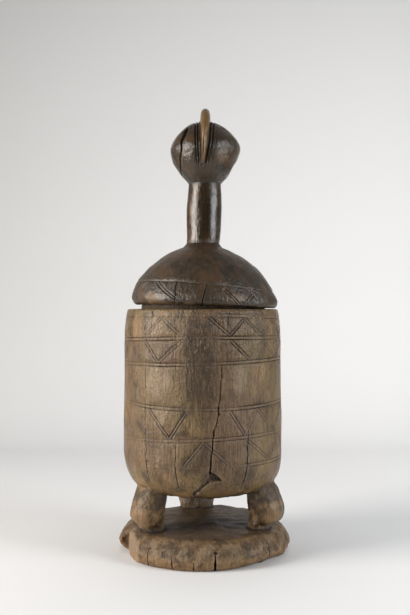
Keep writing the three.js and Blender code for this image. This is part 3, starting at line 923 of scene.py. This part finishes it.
# Corners beside a stroke are drawn onto the middle of its nearer line, so that it is cut clean.
for start, end, _ in strokes:
    along, aside = beside(bearing, height, start, end, WALL_SCALE)
    off = np.sign(aside) * STROKE_PAIR / 2 - aside
    drawn = on_wall & (abs(off) < 0.5) & (along > 0) & (along < 1)
    run, rise = (end[0] - start[0]) * WALL_SCALE, end[1] - start[1]
    shift = np.where(drawn, off / math.hypot(run, rise), 0)
    bearing = bearing + np.radians(shift * rise / WALL_SCALE)
    height = height - shift * run
skin = radius / np.maximum(at_height(WALL_CURVE, points[:, 2]), 1)
radius = np.where(on_wall, at_height(WALL_CURVE, height) * skin, radius)
place = np.stack([VESSEL_X + radius * np.sin(bearing), -radius * np.cos(bearing), height], axis=1)
points = np.where(on_wall[:, None], place, points)
move_points(pot, points)

# The faces are uneven from the adze: broad hollows, and narrow ones that follow the grain.
normals = normals_of(pot)
base_bearing, base_radius = bearings_of(points)
outside = (radius > 84) | (height < 93)
worked = (height > 0.4) & (height < 303.8) & ~((radius < 84) & (height > 286))
on_base = height < 36.5
on_legs = (height >= 34) & (height < 92) & ~on_wall & (base_radius > 55)
foot_side = (height > 32) & (base_radius < 96) & (normals[:, 2] < 0.6)
on_limb = on_legs * np.clip((height - 35) / 7, 0, 1)
uneven = rough(points, (34, 34, 60), 1) * 0.5 + rough(points, (9, 9, 34), 2) * 0.2
uneven += on_wall * (scoops(points, (15, 15, 55), 17) * 0.4 + rough(points, (4, 4, 12), 18) * 0.09)
adzed = rough(points, (15, 15, 18), 4) * 0.5 + scoops(points, (17, 13, 17), 9) * 1.1
uneven += (on_base & ~foot_side) * adzed
uneven += on_limb * (rough(points, (9, 9, 20), 5) * 0.45 + scoops(points, (13, 13, 22), 10) * 1.3)
uneven += ~outside * scoops(points, (20, 20, 28), 11) * 0.9
points += normals * (worked * uneven)[:, None]
BELLY_LEAN = [(1.6, 78), (1.5, 95), (0.9, 108), (0.3, 120), (0, 135)]
lean = at_height(BELLY_LEAN, height) + VESSEL_LEAN
points[:, 0] += lean * np.clip((radius - 83) / 10, 0, 1) * np.clip((height - 78) / 8, 0, 1)

# The rim of the base is chipped all round its lower edge, and worn up at the left and the right.
turn = np.degrees(base_bearing)
chip_top = 9 + rough_round(base_bearing, 14, 12) * 3.5
chipped = (height < chip_top) & (base_radius > 99) & (height > 0.4)
rounded = np.interp(turn, (-80, -50, -22, 5, 60), (0.5, 0.2, 1.0, 3.6, 4))
rounded *= np.clip(1 - height / 9, 0, 1) ** 1.5 * (on_base & (base_radius > 97))
pull = chipped * 0.8 + rounded
points[:, :2] *= (1 - pull / np.maximum(base_radius, 1))[:, None]
lobe = np.exp(-(((turn + 78) / 10) ** 2)) * 7.5
nick = np.exp(-(((turn - 45) / 19) ** 2)) * 5.8
lift = (lobe + nick) * np.clip((base_radius - 93) / 13, 0, 1) ** 2
points[:, 2] += np.where(height < 20, lift * (1 - height / 20), 0)

marks = {}
for crack_bearing, top, width, depth in RIM_CRACKS:
    aside = rim_aside(base_bearing, base_radius, crack_bearing)
    aside = abs(aside + rough(points, (6, 6, 6), 13) * 0.35)
    spread = width * np.clip(1 - height / top, 0, 1) ** 0.7 + 0.3
    notch = groove(aside, spread, depth) * np.clip((top - height) / 5, 0, 1)
    allowed = at_height(BASE_RIM, height) - notch
    reached = on_base & (notch > 0) & (base_radius > allowed)
    points[:, :2] *= np.where(reached, allowed / np.maximum(base_radius, 1), 1)[:, None]
    # Painted shadow: each rim crack is darkened by its depth.
    add_marks(marks, crack=reached * np.clip(notch / 2, 0, 1))

# Bands, strokes, cracks and rot are cut into the wall. A crack's painted shadow is stored as a slope, 0.72
# at its edge, which the finish turns into an even dark line.
fade = np.clip(0.8 + 0.4 * rough(points, (26, 26, 26), 7), 0.3, 1)
for heights, strengths in BANDS:
    turns, shares = zip(*strengths)
    share = np.interp(np.degrees(bearing), turns, shares, period=360) * fade * on_wall
    off = abs(height - band_heights(heights, bearing))
    deep = groove(abs(off - LINE_PAIR / 2), LINE_WIDTH + 0.1, BAND_DEPTH) * share
    add_marks(marks, sunk=deep, cut=deep / BAND_DEPTH, ridge=np.clip(1.2 - off, 0, 1) * share)
on_strokes = on_wall * fade ** 0.5
cut_strokes(marks, strokes, bearing, height, WALL_SCALE, STROKE_DEPTH, (12, 0.4), 1.1, on_strokes)
for depth, line in crack_lines:
    distance, width = line_distance(bearing, height, line, WALL_SCALE)
    deep = groove(distance, np.maximum(width, 0.7) + 0.3, depth) * np.clip(width / 0.7, 0.4, 1)
    crack_shadow = np.clip(1 - (distance - width / 2 + 0.42) / 1.5, 0, 1)
    add_marks(marks, sunk=deep * on_wall, crack=crack_shadow * on_wall)
crumbled = rough(points, (3.0, 3.0, 4.5), 8) * 0.7 + rough(points, (7, 7, 7), 14) * 0.5
for depth, line in rot_lines:
    distance, width = line_distance(bearing, height, line, WALL_SCALE)
    eaten = np.clip((width / 2 - distance + crumbled) / 0.8, 0, 1) * on_wall
    floor = 0.7 + 0.3 * rough(points, (2.5, 2.5, 6), 15)
    add_marks(marks, sunk=depth * eaten * floor, rot=eaten * min(1, depth / 4.5))
points -= normals * marks.pop("sunk")[:, None]
points[:, 2] = np.maximum(points[:, 2], 0)
move_points(pot, points)


# The finish of the pot: old dried-out wood, grey-brown, its grain upright, dark in every cut and worn
# back to ochre on the knees, the rim and the lower edges. Shade is painted in too: dark in the cracks,
# the creases, under and inside the vessel and on the legs' shaded sides; and pale where the lamps
# catch the wall and the knees, as painted highlights.
# Each patch is a bearing, a height, its half width and half height, and its strength.
WORN = [
    (-54, 284, 15, 24, 0.75),
    (-31, 301, 12, 4, 0.7),
    (-70, 190, 16, 80, 0.45),
    (-13.5, 218, 4, 26, 0.4),
    (-55, 93, 16, 11, 1.0),
    (-27.5, 108, 5, 12, 0.6),
    (-17, 85, 17, 7, 0.9),
    (-45, 132, 26, 26, 0.45),
    (-6, 165, 12, 16, 0.4),
    (56, 285, 14, 20, 0.5),
    (42, 222, 24, 34, 0.55),
    (112, 150, 26, 60, 0.5),
    (160, 262, 22, 30, 0.45),
    (215, 110, 24, 22, 0.6),
    (248, 240, 20, 40, 0.4),
]
# Stains and painted shade: the dark stain down the front, deepened there as painted shade, and painted shade
# on the lower belly.
STAINS_AND_SHADE = [
    (-2, 240, 30, 95, 0.7),
    (0, 128, 36, 40, 0.6),
    (-4, 275, 22, 36, 0.7),
    (-6.5, 244, 14, 30, 0.7),
    (-7.5, 222, 10, 30, 0.75),
    (-9, 206, 5, 11, 0.8),
    (2, 232, 14, 26, 0.45),
    (-14, 160, 15, 6, 0.6),
    (30, 108, 30, 22, 0.62),
    (4, 186, 16, 14, 0.3),
    (140, 240, 24, 34, 0.6),
    (190, 170, 30, 40, 0.55),
    (250, 160, 18, 50, 0.5),
]
# Pale dry wood and painted highlights: the broad patches on the wall's left and right stand for the lamps'
# sheen; the small ones are pale spots.
DRY_AND_HIGHLIGHT = [
    (-36, 284, 17, 20, 0.7),
    (-32, 222, 24, 26, 0.8),
    (-32, 178, 18, 20, 0.6),
    (-40, 252, 12, 12, 0.5),
    (27, 222, 18, 26, 0.6),
    (25, 288, 12, 12, 0.4),
    (-33, 120, 3, 2, 1.0),
    (-4.6, 88, 3, 4, 0.9),
    (95, 200, 24, 50, 0.4),
    (205, 250, 22, 30, 0.5),
]
# Each spot on the legs and the base is a place, a radius and a strength.
WORN_SPOTS = [
    ((-79, -62, 50), 19, 1.0),
    ((-68, -66, 43), 9, 0.8),
    ((86, -58, 50), 19, 0.85),
    ((-10, 104, 52), 18, 0.7),
    ((-104, -22, 14), 12, 0.7),
]
# Painted shade: the calves under the knees, the rear leg, and the base under the knees and the vessel.
SHADE_SPOTS = [
    ((-58, -60, 40), 15, 0.8),
    ((-50, -50, 74), 18, 0.8),
    ((-90, -52, 80), 13, 0.8),
    ((62, -45, 62), 19, 0.8),
    ((70, -54, 68), 13, 0.8),
    ((-10, 72, 60), 44, 0.8),
    ((-44, -98, 24), 17, 0.8),
    ((52, -92, 22), 16, 0.8),
    ((-10, -40, 33), 44, 0.8),
]
# Painted highlights on the knees' lit facets, and a pale spot on the base.
DRY_AND_HIGHLIGHT_SPOTS = [
    ((-79, -67, 74), 9, 0.8),
    ((-81, -68, 62), 8, 0.8),
    ((84, -60, 66), 8, 0.8),
    ((-88, -50, 20), 14, 0.8),
]
# Gloss by height: the upper wall is handled, and the base is dull.
SHEEN = [(-3, 28), (0, 44), (0, 215), (0.8, 250), (1, 300)]
DULL = -3


def most(layers):
    return np.maximum.reduce(list(layers))


def oval(bearing, height, patch, scale):
    """A soft oval: its strength in the middle, 0 outside it."""
    middle, level, wide, tall, strength = patch
    across = degrees_from(bearing, middle) * scale
    return np.clip(1.5 - 1.25 * np.hypot(across / wide, (height - level) / tall), 0, 1) * strength


def ball(points, place, size, strength):
    return np.clip(1.4 - 1.2 * np.linalg.norm(points - place, axis=1) / size, 0, 1) * strength


def painted(patches, spots):
    """The pot's patches, which lie on the vessel's outside, and its spots."""
    ovals = most(oval(bearing, height, patch, WALL_SCALE) for patch in patches)
    return most([ovals * (outside & (height > 72))] + [ball(points, *spot) for spot in spots])


bend = hollows(pot, 2)
crease_shade = np.clip(hollows(pot, 5) * 12 - 0.1, 0, 1)
patchy = rough(points, (9, 9, 8), 30) + rough(points, (3.5, 3.5, 4), 31) * 0.6
in_front = on_legs & (height < 72) & (points[:, 1] < 0)
worn = [
    painted(WORN, WORN_SPOTS),
    chipped * 0.6,
    in_front * np.clip(-patchy * 2.5 - 0.2, 0, 1) * 0.8,
    on_base * np.clip(0.6 - patchy * 0.5, 0, 0.9) * np.clip((16 - height) / 5, 0, 1),
]
# Darker wood: the mottling is the wood's own; the vessel's underside, the base's top under the vessel, the
# pot's inside, the lip in the gap under the lid and the spots above are painted shade.
stain = [
    painted(STAINS_AND_SHADE, SHADE_SPOTS),
    ((height < 84) & (height > 70) & (radius < 84)) * 0.8,
    (on_base & (base_radius < 90)) * 0.6,
    on_base * np.clip(patchy * 1.2, 0, 0.6),
    on_legs * np.clip(patchy * 2, 0.5, 1),
    ~outside * 0.8,
    ((radius < 85) & (height > 306.8)) * 1.0,
]
# The wood that the fallen flank has laid bare.
flank_turn = math.radians(FLANK_BEARING)
flank_out = points[:, 0] * math.sin(flank_turn) - points[:, 1] * math.cos(flank_turn)
turn = np.degrees(base_bearing)
torn = on_base & (flank_out > BASE_RADIUS - FLANK_DEPTH - 2.2) & (turn > -76) & (turn < -48)
# Pale wood and painted highlight: the patches and spots above, the base's upper rim, and the bared flank.
dry = [
    painted(DRY_AND_HIGHLIGHT, DRY_AND_HIGHLIGHT_SPOTS),
    (on_base & (height > 12) & (base_radius > 90)) * np.clip(0.3 - patchy, 0, 0.5),
    torn * 0.9,
]
# Painted shade: creases are darkened by how the skin bends, most low down where the legs meet the base.
cut = crease_shade * np.where(height > 66, 0.35, 0.8)
ridge = np.clip(-bend * 7 - 0.1, 0, 1) * outside * 0.8
add_marks(marks, cut=cut, ridge=ridge, worn=most(worn), stain=most(stain), dry=most(dry))
marks["sheen"] = np.where(outside, at_height(SHEEN, height), DULL)
keep_marks(pot, marks)

BODY_WOOD = (0.123, 0.071, 0.031, 1)
DARK_WOOD = (0.030, 0.017, 0.008, 1)
OLIVE_WOOD = (0.150, 0.097, 0.036, 1)
# Pale wood for dry patches and the grain, and for painted highlights.
DRY_AND_LIT_WOOD = (0.255, 0.178, 0.108, 1)
OCHRE_WOOD = (0.260, 0.150, 0.065, 1)
# Near black: dirt in the cuts and specks, and painted shadow in the cracks, creases and pit.
CUT_DIRT_AND_SHADOW = (0.014, 0.009, 0.006, 1)
RIDGE_WOOD = (0.250, 0.175, 0.115, 1)
ROTTEN_WOOD = (0.050, 0.030, 0.018, 1)

finish = Finish(bpy.data.materials.new("pot_wood"))
blotch = finish.mottle((55, 55, 80), 4, seed=1.0)
streak = finish.mottle((6, 6, 80), 4, 0.6, seed=2.0)
fibre = finish.mottle((1.5, 1.5, 18), 4, 0.65, seed=3.0)
speck = finish.mottle((3.2, 3.2, 4.4), 4, 0.6, seed=4.0)
ragged = finish.mottle((7, 7, 24), 4, 0.65, seed=5.0)
smudge = finish.mottle((16, 16, 22), 5, 0.6, seed=8.0)
# The dark coats from the stored layers hold painted shade as well as stains and dirt, and the pale patches
# hold painted highlights as well as dry wood.
colour = finish.coated(BODY_WOOD, [
    (OLIVE_WOOD, blotch.between(0.42, 0.60)),
    (DARK_WOOD, smudge.between(0.50, 0.68) * 0.72),
    (DRY_AND_LIT_WOOD, (1 - smudge).between(0.54, 0.70) * 0.35),
    (DARK_WOOD, streak.between(0.52, 0.72) * 0.25),
    (DRY_AND_LIT_WOOD, (1 - streak).between(0.54, 0.74) * 0.2),
    (DARK_WOOD, finish.patches("stain", ragged) * 0.77),
    (DRY_AND_LIT_WOOD, finish.patches("dry", ragged) * 0.8),
    (OCHRE_WOOD, finish.patches("worn", ragged) * 0.6),
    (DARK_WOOD, fibre.between(0.50, 0.66) * 0.56),
    (DRY_AND_LIT_WOOD, (1 - fibre).between(0.54, 0.68) * 0.36),
    (CUT_DIRT_AND_SHADOW, speck.between(0.58, 0.72) * 0.6),
    (DRY_AND_LIT_WOOD, (1 - speck).between(0.60, 0.74) * 0.45),
    (RIDGE_WOOD, finish.stored("ridge") * 0.5),
    (CUT_DIRT_AND_SHADOW, finish.stored("cut").between(0.05, 0.6) * 0.85),
    (ROTTEN_WOOD, finish.stored("rot")),
    (CUT_DIRT_AND_SHADOW, finish.stored("crack").between(0.54, 0.74)),
])
relief = (fibre - 0.5) * 0.8 + (speck - 0.5) * 1.2 + (streak - 0.5) * 0.8 + (smudge - 0.5) * 1.2
roughness = 0.22 + finish.mottle((15, 15, 30), 3, seed=6.0) * 0.26 - finish.stored("sheen") * 0.08
roughness = roughness + finish.stored("cut") * 0.3
pot.data.materials.clear()
pot.data.materials.append(finish.finished(colour, roughness, relief, 0.36))


# Lid: a dome that drops over the lip, with the neck and the ball head as its grip, cut from a
# second log and hollowed. Its skirt's edge is a little askew, lowest at the right, and the whole
# grip leans a little to the left.
LID_X = 1.3
LID_LEDGE = 318.9
SKIRT_INSIDE = 82.3
LID_RADIUS = 93.0
LID_WIDEST = 314.6
DOME_TOP = 387.2
NECK_RADIUS = 20.8
NECK_TOP = 467
HEAD_WIDEST = 509.6
HEAD_TOP = 548.1
HEAD_RADIUS = 44.1
DOME_LINE = (341.5, 337.5, 330.5)
DOME_LINE_WIDTH = 2.0
DOME_LINE_DEPTH = 0.9
# The dome's rows of faces follow its line up to here.
LINE_REACH = 361
SKIRT_EDGE = (312.4, 311.2, 307.8)
LOWEST_EDGE = 307.8
LID_STEPS = 168
# How far the outside leans to the right, by height.
LEAN = (
    [(0, 311), (-1.2, 318), (-3.2, 327), (-4.0, 338), (-3.3, 353), (-3.4, 366), (-4.1, 379), (-3.0, 388)]
    + [(-2.1, 398), (-1.2, 436), (-0.8, 462), (-0.6, 475), (-1.6, 490), (-0.8, 500), (0, 514), (0, 560)]
)

DOME_CURVE = [(LID_RADIUS, LID_WIDEST)] + curve(
    [(LID_RADIUS, LID_WIDEST), (LID_RADIUS, 326.9), (78.8, 366.8), (NECK_RADIUS, DOME_TOP)], 40
)
HEAD_CURVE = (
    curve([(NECK_RADIUS, NECK_TOP), (21.4, 470), (40.8, 486), (HEAD_RADIUS, HEAD_WIDEST)], 18)
    + curve([(HEAD_RADIUS, HEAD_WIDEST), (HEAD_RADIUS, 525.1), (21.5, HEAD_TOP), (0, HEAD_TOP)], 20)
)
line_mean = mean_height(DOME_LINE)
dome_rows = rows_between([LID_WIDEST, line_mean - 1, line_mean, line_mean + 1, LINE_REACH - 1], 2.8)
outline = (
    [(0, 367.1), (12, 366.8)]
    + curve([(12, 366.8), (48, 366), (70, 343), (70, LID_LEDGE)], 14)
    + [(76, LID_LEDGE), (SKIRT_INSIDE, LID_LEDGE), (SKIRT_INSIDE, 313.5), (SKIRT_INSIDE, LOWEST_EDGE)]
    + [(85, LOWEST_EDGE), (87.6, LOWEST_EDGE), (89.6, 308.3), (91.0, 309.6), (92.0, 311.2), (92.7, 313)]
    + [(float(at_height(DOME_CURVE, height)), height) for height in dome_rows]
    + [point for point in DOME_CURVE if point[1] > LINE_REACH][:-1]
    + curve([(NECK_RADIUS, DOME_TOP), (24.2, 430), (NECK_RADIUS, NECK_TOP)], 26)
    + HEAD_CURVE
)
lid = turned("carved_lid", outline, steps=LID_STEPS, centre_x=LID_X)
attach(lid, "lid")
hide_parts("lid")

points = points_of(lid)
bearing, radius = bearings_of(points, LID_X)
on_rows = (points[:, 2] >= LID_WIDEST - 0.1) & (points[:, 2] < LINE_REACH)
on_rows &= radius > at_height(DOME_CURVE, points[:, 2]) - 1
bands = [(LID_WIDEST,) * 3, DOME_LINE, (LINE_REACH,) * 3]
bend_rows(points, on_rows, LID_X, bands, DOME_CURVE, hold=1.5)

# The skirt's edge slants, and is nicked by long use.
edge = band_heights(SKIRT_EDGE, bearing) + np.clip(rough_round(bearing, 12, 26), -0.5, 1) * 0.5
edge = np.maximum(edge, LOWEST_EDGE - 0.2)
outer_side = radius > SKIRT_INSIDE + 1
skirt_top = np.where(outer_side, 328, LID_LEDGE)
skirt_foot = np.where(outer_side, 314, LOWEST_EDGE)
share = np.clip((skirt_top - points[:, 2]) / (skirt_top - skirt_foot), 0, 1)
near_edge = (radius > SKIRT_INSIDE - 0.5) & (points[:, 2] < skirt_top)
points[:, 2] += near_edge * (edge - LOWEST_EDGE) * share
move_points(lid, points)

# Crest: an upright blade over the head, from low on its front to low on its back, cut from the
# same wood. It is turned as a wheel, set on edge, and thinned towards its foot.
CREST_CENTRE = 517
CREST_HALF_HEIGHT = 46.4
CREST_HALF_DEPTH = 49.5
# The wheel's half thickness at each radius.
CREST_SIDE = (
    [(0, 6.9), (12, 6.9), (18, 6.9), (22, 6.9), (26, 6.9), (30, 6.8), (33, 6.6), (36, 6.3)]
    + [(38.5, 5.9), (40.5, 5.4), (42, 4.7), (43.2, 3.6), (44, 2.2), (44.4, 0.8)]
)
# By height: the share of that thickness, how far the blade stands to the left, and half the width
# of its golden face.
CREST_THIN = (
    [(0.4, 480), (0.46, 490), (0.56, 502), (0.68, 513), (0.78, 523), (0.9, 536), (1.02, 549)]
    + [(1.04, 563)]
)
CREST_LEFT = [(1.2, 500), (0.9, 522), (0, 545)]
CREST_FACE = [(2.4, 490), (3.0, 502), (3.7, 513), (4.3, 523), (5.3, 536), (6.6, 549), (6.8, 563)]
wheel = [(radius, -half) for radius, half in CREST_SIDE] + CREST_SIDE[::-1]
wheel_radius = CREST_SIDE[-1][0]
crest = turned("crest", wheel, steps=120)
blade = points_of(crest)[:, (2, 0, 1)]
blade[:, 1] *= CREST_HALF_DEPTH / wheel_radius
blade[:, 2] *= CREST_HALF_HEIGHT / wheel_radius
blade[:, 2] += CREST_CENTRE
blade[:, 0] *= at_height(CREST_THIN, blade[:, 2])
blade[:, 0] += LID_X - at_height(CREST_LEFT, blade[:, 2])
move_points(crest, blade)
join_solid(lid, crest)

# Carving of the lid: paired strokes between the dome's line and the edge, and on the head two
# long cuts on each side of the crest, a cut down the crest's foot and a small pit below it.
LID_SCALE = math.radians(1) * 91
LID_STROKE_DEPTH = 1.3
# Each stroke is the bearing and height of its two ends, and its share of the depth.
LID_STROKES = [
    ((-39.5, 340), (-20.8, 318), 1.0),
    ((-66, 322), (-52, 340), 0.5),
    ((16.8, 331), (26.2, 311), 1.0),
    ((29, 311.5), (42, 325), 0.9),
    ((-14, 316), (3, 335), 0.15),
    ((66, 327), (80, 311), 0.8),
]
for number in range(7):
    odd = number % 2
    LID_STROKES.append(((96 + 25 * number, 312 + 17 * odd), (116 + 25 * number, 329 - 16 * odd), 0.8))
LID_CRACKS = [
    (3.0, [(4.2, 339, 0.3), (3.6, 336, 1.0), (0.4, 324, 1.2), (-2.5, 312, 1.5)]),
    (2.0, [(-21, 340, 0.3), (-20.7, 323.4, 0.9), (-22.8, 314, 0.8)]),
    (2.0, [(-63.7, 340.4, 0.4), (-67, 328, 1.0), (-70.5, 313, 1.0)]),
    (2.5, [(100, 352, 0.3), (101, 332, 1.0), (99, 311, 1.4)]),
    (2.5, [(178, 356, 0.3), (176, 334, 1.2), (179, 311, 1.6)]),
    (2.0, [(-128, 344, 0.3), (-127, 312, 1.2)]),
]
# The head's cuts and its crack: the place across and the height of each bend, from below, then
# width and depth.
HEAD_CUTS = [
    ([(-8.2, 488), (-9.8, 500), (-11.0, 514), (-11.3, 530), (-11.4, 549)], 2.6, 1.9),
    ([(-5.0, 486), (-6.8, 500), (-7.9, 514), (-8.2, 530), (-8.0, 549)], 2.6, 2.0),
    ([(3.2, 489), (4.4, 500), (5.9, 514), (7.4, 530), (8.2, 549)], 2.6, 1.9),
    ([(6.6, 490), (8.6, 500), (9.9, 514), (11.2, 530), (11.8, 549)], 2.4, 1.6),
]
CREST_CUT = ([(-0.6, 486), (-0.6, 500), (-0.6, 510), (-0.3, 523)], 2.6, 1.6)
HEAD_CRACK = (
    [(-28.8, 481), (-29.0, 504), (-28.2, 516), (-25.6, 523.5), (-23.0, 530), (-21.5, 534)], 5.0, 5.0
)
PIT = (-0.6, 486.6)
PIT_RADIUS = 2.0
PIT_DEPTH = 2.6


def aside_of(points, bends):
    return abs(points[:, 0] - at_height(bends, points[:, 2]))


def head_distance(points):
    """Distance from the nearest cut of the head, seen from the front or from the back."""
    away = np.hypot(points[:, 0] - LID_X, np.hypot(points[:, 1], points[:, 2] - 508))
    cuts_away = [aside_of(points, bends) - width / 2 for bends, width, _ in HEAD_CUTS + [CREST_CUT]]
    nearest = np.minimum.reduce(cuts_away)
    in_front = points[:, 1] < 0
    crack_away = aside_of(points, HEAD_CRACK[0]) - 2.2
    nearest = np.where(in_front & (points[:, 2] < 538), np.minimum(nearest, crack_away), nearest)
    pit_away = np.hypot(points[:, 0] - PIT[0], points[:, 2] - PIT[1]) - PIT_RADIUS
    nearest = np.where(in_front, np.minimum(nearest, pit_away), nearest)
    return np.where(level_between(points, 478, 553) & (away < 52), nearest, FAR)


lid_crack_lines = [(depth, meander(bends, 0.15, 4)) for depth, bends in LID_CRACKS]


def on_dome(points):
    _, radius = bearings_of(points, LID_X)
    return (radius > at_height(DOME_CURVE, points[:, 2]) - 3) & (points[:, 2] < 362)


def lid_distance(points):
    bearing, _ = bearings_of(points, LID_X)
    strokes_away = near_strokes(bearing, points[:, 2], LID_STROKES, LID_SCALE, 0.1)
    cracks_away = near_lines(bearing, points[:, 2], lid_crack_lines, LID_SCALE)
    return np.where(on_dome(points), np.minimum(strokes_away, cracks_away), head_distance(points))


refine(lid, lid_distance, 2.4)
refine(lid, lid_distance, 0.9)

points = points_of(lid)
normals = normals_of(lid)
bearing, radius = bearings_of(points, LID_X)
height = points[:, 2].copy()
outside = (height > 366) | (radius > at_height(DOME_CURVE, height) - 2)
skirt = (height < LID_WIDEST) & (radius > SKIRT_INSIDE - 0.5)
dome = on_dome(points) & (height > LID_WIDEST)
on_head = height > 468
on_crest = (height > 480) & (abs(points[:, 0] - LID_X) < 7.8) & (radius > at_height(HEAD_CURVE, height) + 0.7)

uneven = rough(points, (30, 30, 34), 21) * 0.55 + rough(points, (9, 9, 14), 22) * 0.2
uneven += (on_head & ~on_crest) * scoops(points, (13, 13, 15), 23) * 0.7
uneven += dome * scoops(points, (19, 19, 13), 24) * 0.6
inner = (radius < 68) & (height > 321) & (height < 368) & ~outside
uneven += inner * scoops(points, (18, 18, 18), 25) * 0.8
moved = outside & (height > LID_WIDEST + 0.5) | inner
points += normals * (moved * np.where(on_crest, uneven * 0.4, uneven))[:, None]

marks = {}
deep = groove(abs(height - band_heights(DOME_LINE, bearing)), DOME_LINE_WIDTH, DOME_LINE_DEPTH) * dome
add_marks(marks, sunk=deep, dust=deep / DOME_LINE_DEPTH)
cut_strokes(marks, LID_STROKES, bearing, height, LID_SCALE, LID_STROKE_DEPTH, (10, 0.3), 1.2, dome | skirt)
for depth, line in lid_crack_lines:
    distance, width = line_distance(bearing, height, line, LID_SCALE)
    deep = groove(distance, width + 0.2, depth) * (dome | skirt)
    # Painted shadow: each crack is darkened by its depth.
    add_marks(marks, sunk=deep, crack=np.clip(deep / 1.4, 0, 1))
across = points[:, 0].copy()
in_front = points[:, 1] < 0
fading = np.clip((height - 484) / 8, 0, 1) * on_head
for bends, width, depth in HEAD_CUTS:
    deep = groove(abs(across - at_height(bends, height)), width, depth) * fading * ~on_crest
    deep *= np.clip((551 - height) / 3, 0, 1)
    add_marks(marks, sunk=deep, cut=deep / depth)
bends, width, depth = CREST_CUT
deep = groove(abs(across - at_height(bends, height)), width, depth) * fading
deep *= np.clip((523 - height) / 10, 0, 1)
add_marks(marks, sunk=deep, cut=deep / depth * 0.7)
bends, width, depth = HEAD_CRACK
crack_away = abs(across - at_height(bends, height) + rough(points, (9, 9, 9), 27) * 0.6)
crack_width = np.interp(height, (478, 500, 512, 522, 531, 537), (0.8, 1.7, 3.0, width, width, 0.6))
on_crack = in_front & on_head & (height < 537) & (across < -15)
deep = groove(crack_away, crack_width, depth) * on_crack
# Painted shadow in the head's crack.
add_marks(marks, sunk=deep, crack=np.clip(deep, 0, 1))
pit_away = np.where(in_front & on_head, np.hypot(across - PIT[0], height - PIT[1]), FAR)
# Painted shade in the pit.
pit_shadow = np.clip(1.3 - pit_away / PIT_RADIUS, 0, 0.9)
add_marks(marks, sunk=groove(pit_away, PIT_RADIUS * 2, PIT_DEPTH), crack=pit_shadow)
points -= normals * marks.pop("sunk")[:, None]
points[:, 0] += outside * at_height(LEAN, height)
move_points(lid, points)

# The finish of the lid: dark from handling, glossy on the neck and the head, golden on the crest.
# Its patches and spots are given as the pot's are. Most pale patches are wear, but the patch on the
# band at the right and the neck's left side are painted highlights.
LID_WEAR_AND_HIGHLIGHTS = [
    (-42, 320, 22, 12, 0.7),
    (-39, 313, 34, 6, 0.7),
    (-12, 313, 10, 5, 0.5),
    (150, 318, 24, 12, 0.8),
    # Painted highlight: the right lamp's sheen on the band.
    (26, 320, 16, 9, 0.6),
]
LID_WORN_SPOTS = [((22, -30, 497), 16, 0.5), ((-22, -36, 500), 14, 0.4)]
POLISH = [(0.42, 330), (0.25, 342), (0.25, 380), (1.0, 397), (1.0, 452), (0.88, 476), (0.84, 520)]
GILT = [(0, 484), (1, 494), (1, 548), (0.5, 562)]
NIGHT_WOOD = (0.019, 0.012, 0.006, 1)
HANDLED_WOOD = (0.048, 0.031, 0.016, 1)
RUSSET_WOOD = (0.080, 0.040, 0.017, 1)
GOLD_WOOD = (0.160, 0.084, 0.021, 1)
TAN_WOOD = (0.240, 0.150, 0.082, 1)
DUST = (0.130, 0.105, 0.080, 1)

bend = hollows(lid, 2)
crest_middle = LID_X + at_height(LEAN, height) - at_height(CREST_LEFT, height)
gold = np.clip(1.5 - abs(points[:, 0] - crest_middle) / at_height(CREST_FACE, height), 0, 1) * on_crest
on_neck = (height > 388) & (height < 466)
# Painted highlight: the neck's left side, facing the left lamp, is lightened with tan.
neck_painted_highlight = np.clip(1.2 - abs(np.degrees(bearing) + 42) / 34, 0, 1) * on_neck
worn = [oval(bearing, height, patch, LID_SCALE) for patch in LID_WEAR_AND_HIGHLIGHTS]
worn += [ball(points, *spot) for spot in LID_WORN_SPOTS] + [neck_painted_highlight * 0.55]
# Painted shade: the lid's hollows and creases are darkened by how the skin bends.
cut = np.clip(bend * 7, 0, 1) * outside * 0.7
ridge = np.clip(-bend * 4 - 0.3, 0, 1) * outside * 0.7
add_marks(marks, cut=cut, ridge=ridge, worn=most(worn), gold=gold * at_height(GILT, height))
marks["polish"] = at_height(POLISH, height)
keep_marks(lid, marks)

finish = Finish(bpy.data.materials.new("lid_wood"))
blotch = finish.mottle((40, 40, 50), 4, seed=1.0)
streak = finish.mottle((5, 5, 60), 4, 0.6, seed=2.0)
fibre = finish.mottle((1.1, 1.1, 26), 3, seed=3.0)
speck = finish.mottle((2.8, 2.8, 3.4), 4, 0.6, seed=4.0)
dent = finish.mottle((5, 5, 6), 3, 0.5, seed=9.0)
ragged = finish.mottle((6, 6, 16), 4, 0.65, seed=5.0)
warmth = finish.mottle((18, 18, 30), 3, seed=7.0)
smooth = finish.stored("polish").between(0.85, 1.0)
colour = finish.coated(NIGHT_WOOD, [
    (HANDLED_WOOD, (blotch * 0.5 + streak * 0.5).between(0.38, 0.60)),
    (RUSSET_WOOD, warmth.between(0.46, 0.66) * 0.6),
    (NIGHT_WOOD, smooth * 0.6),
    (TAN_WOOD, finish.patches("worn", ragged) * 0.55),
    (GOLD_WOOD, finish.stored("gold") * (0.55 + streak * 0.6)),
    (NIGHT_WOOD, fibre.between(0.54, 0.70) * 0.6),
    (RIDGE_WOOD, finish.stored("ridge") * 0.25),
    (DUST, speck.between(0.60, 0.74) * 0.3),
    (DUST, finish.stored("dust") * ragged.between(0.40, 0.56) * 0.8),
    (CUT_DIRT_AND_SHADOW, finish.stored("cut").between(0.05, 0.6) * 0.85),
    (CUT_DIRT_AND_SHADOW, finish.stored("crack")),
])
relief = (fibre - 0.5) * 0.35 + (speck - 0.5) * 0.7 + (streak - 0.5) * 0.5 + (dent - 0.5) * 0.9
relief = relief * (1 - smooth * 0.4)
roughness = 0.42 - finish.stored("polish") * 0.31 + (finish.mottle((9, 9, 16), 4, seed=6.0) - 0.35) * 0.3
roughness = roughness + finish.stored("cut") * 0.35 + finish.stored("gold") * 0.12
lid.data.materials.clear()
lid.data.materials.append(finish.finished(colour, roughness, relief, 0.56))


for piece in (pot, lid):
    pick(piece)
    bpy.ops.object.shade_smooth_by_angle(angle=math.radians(40))
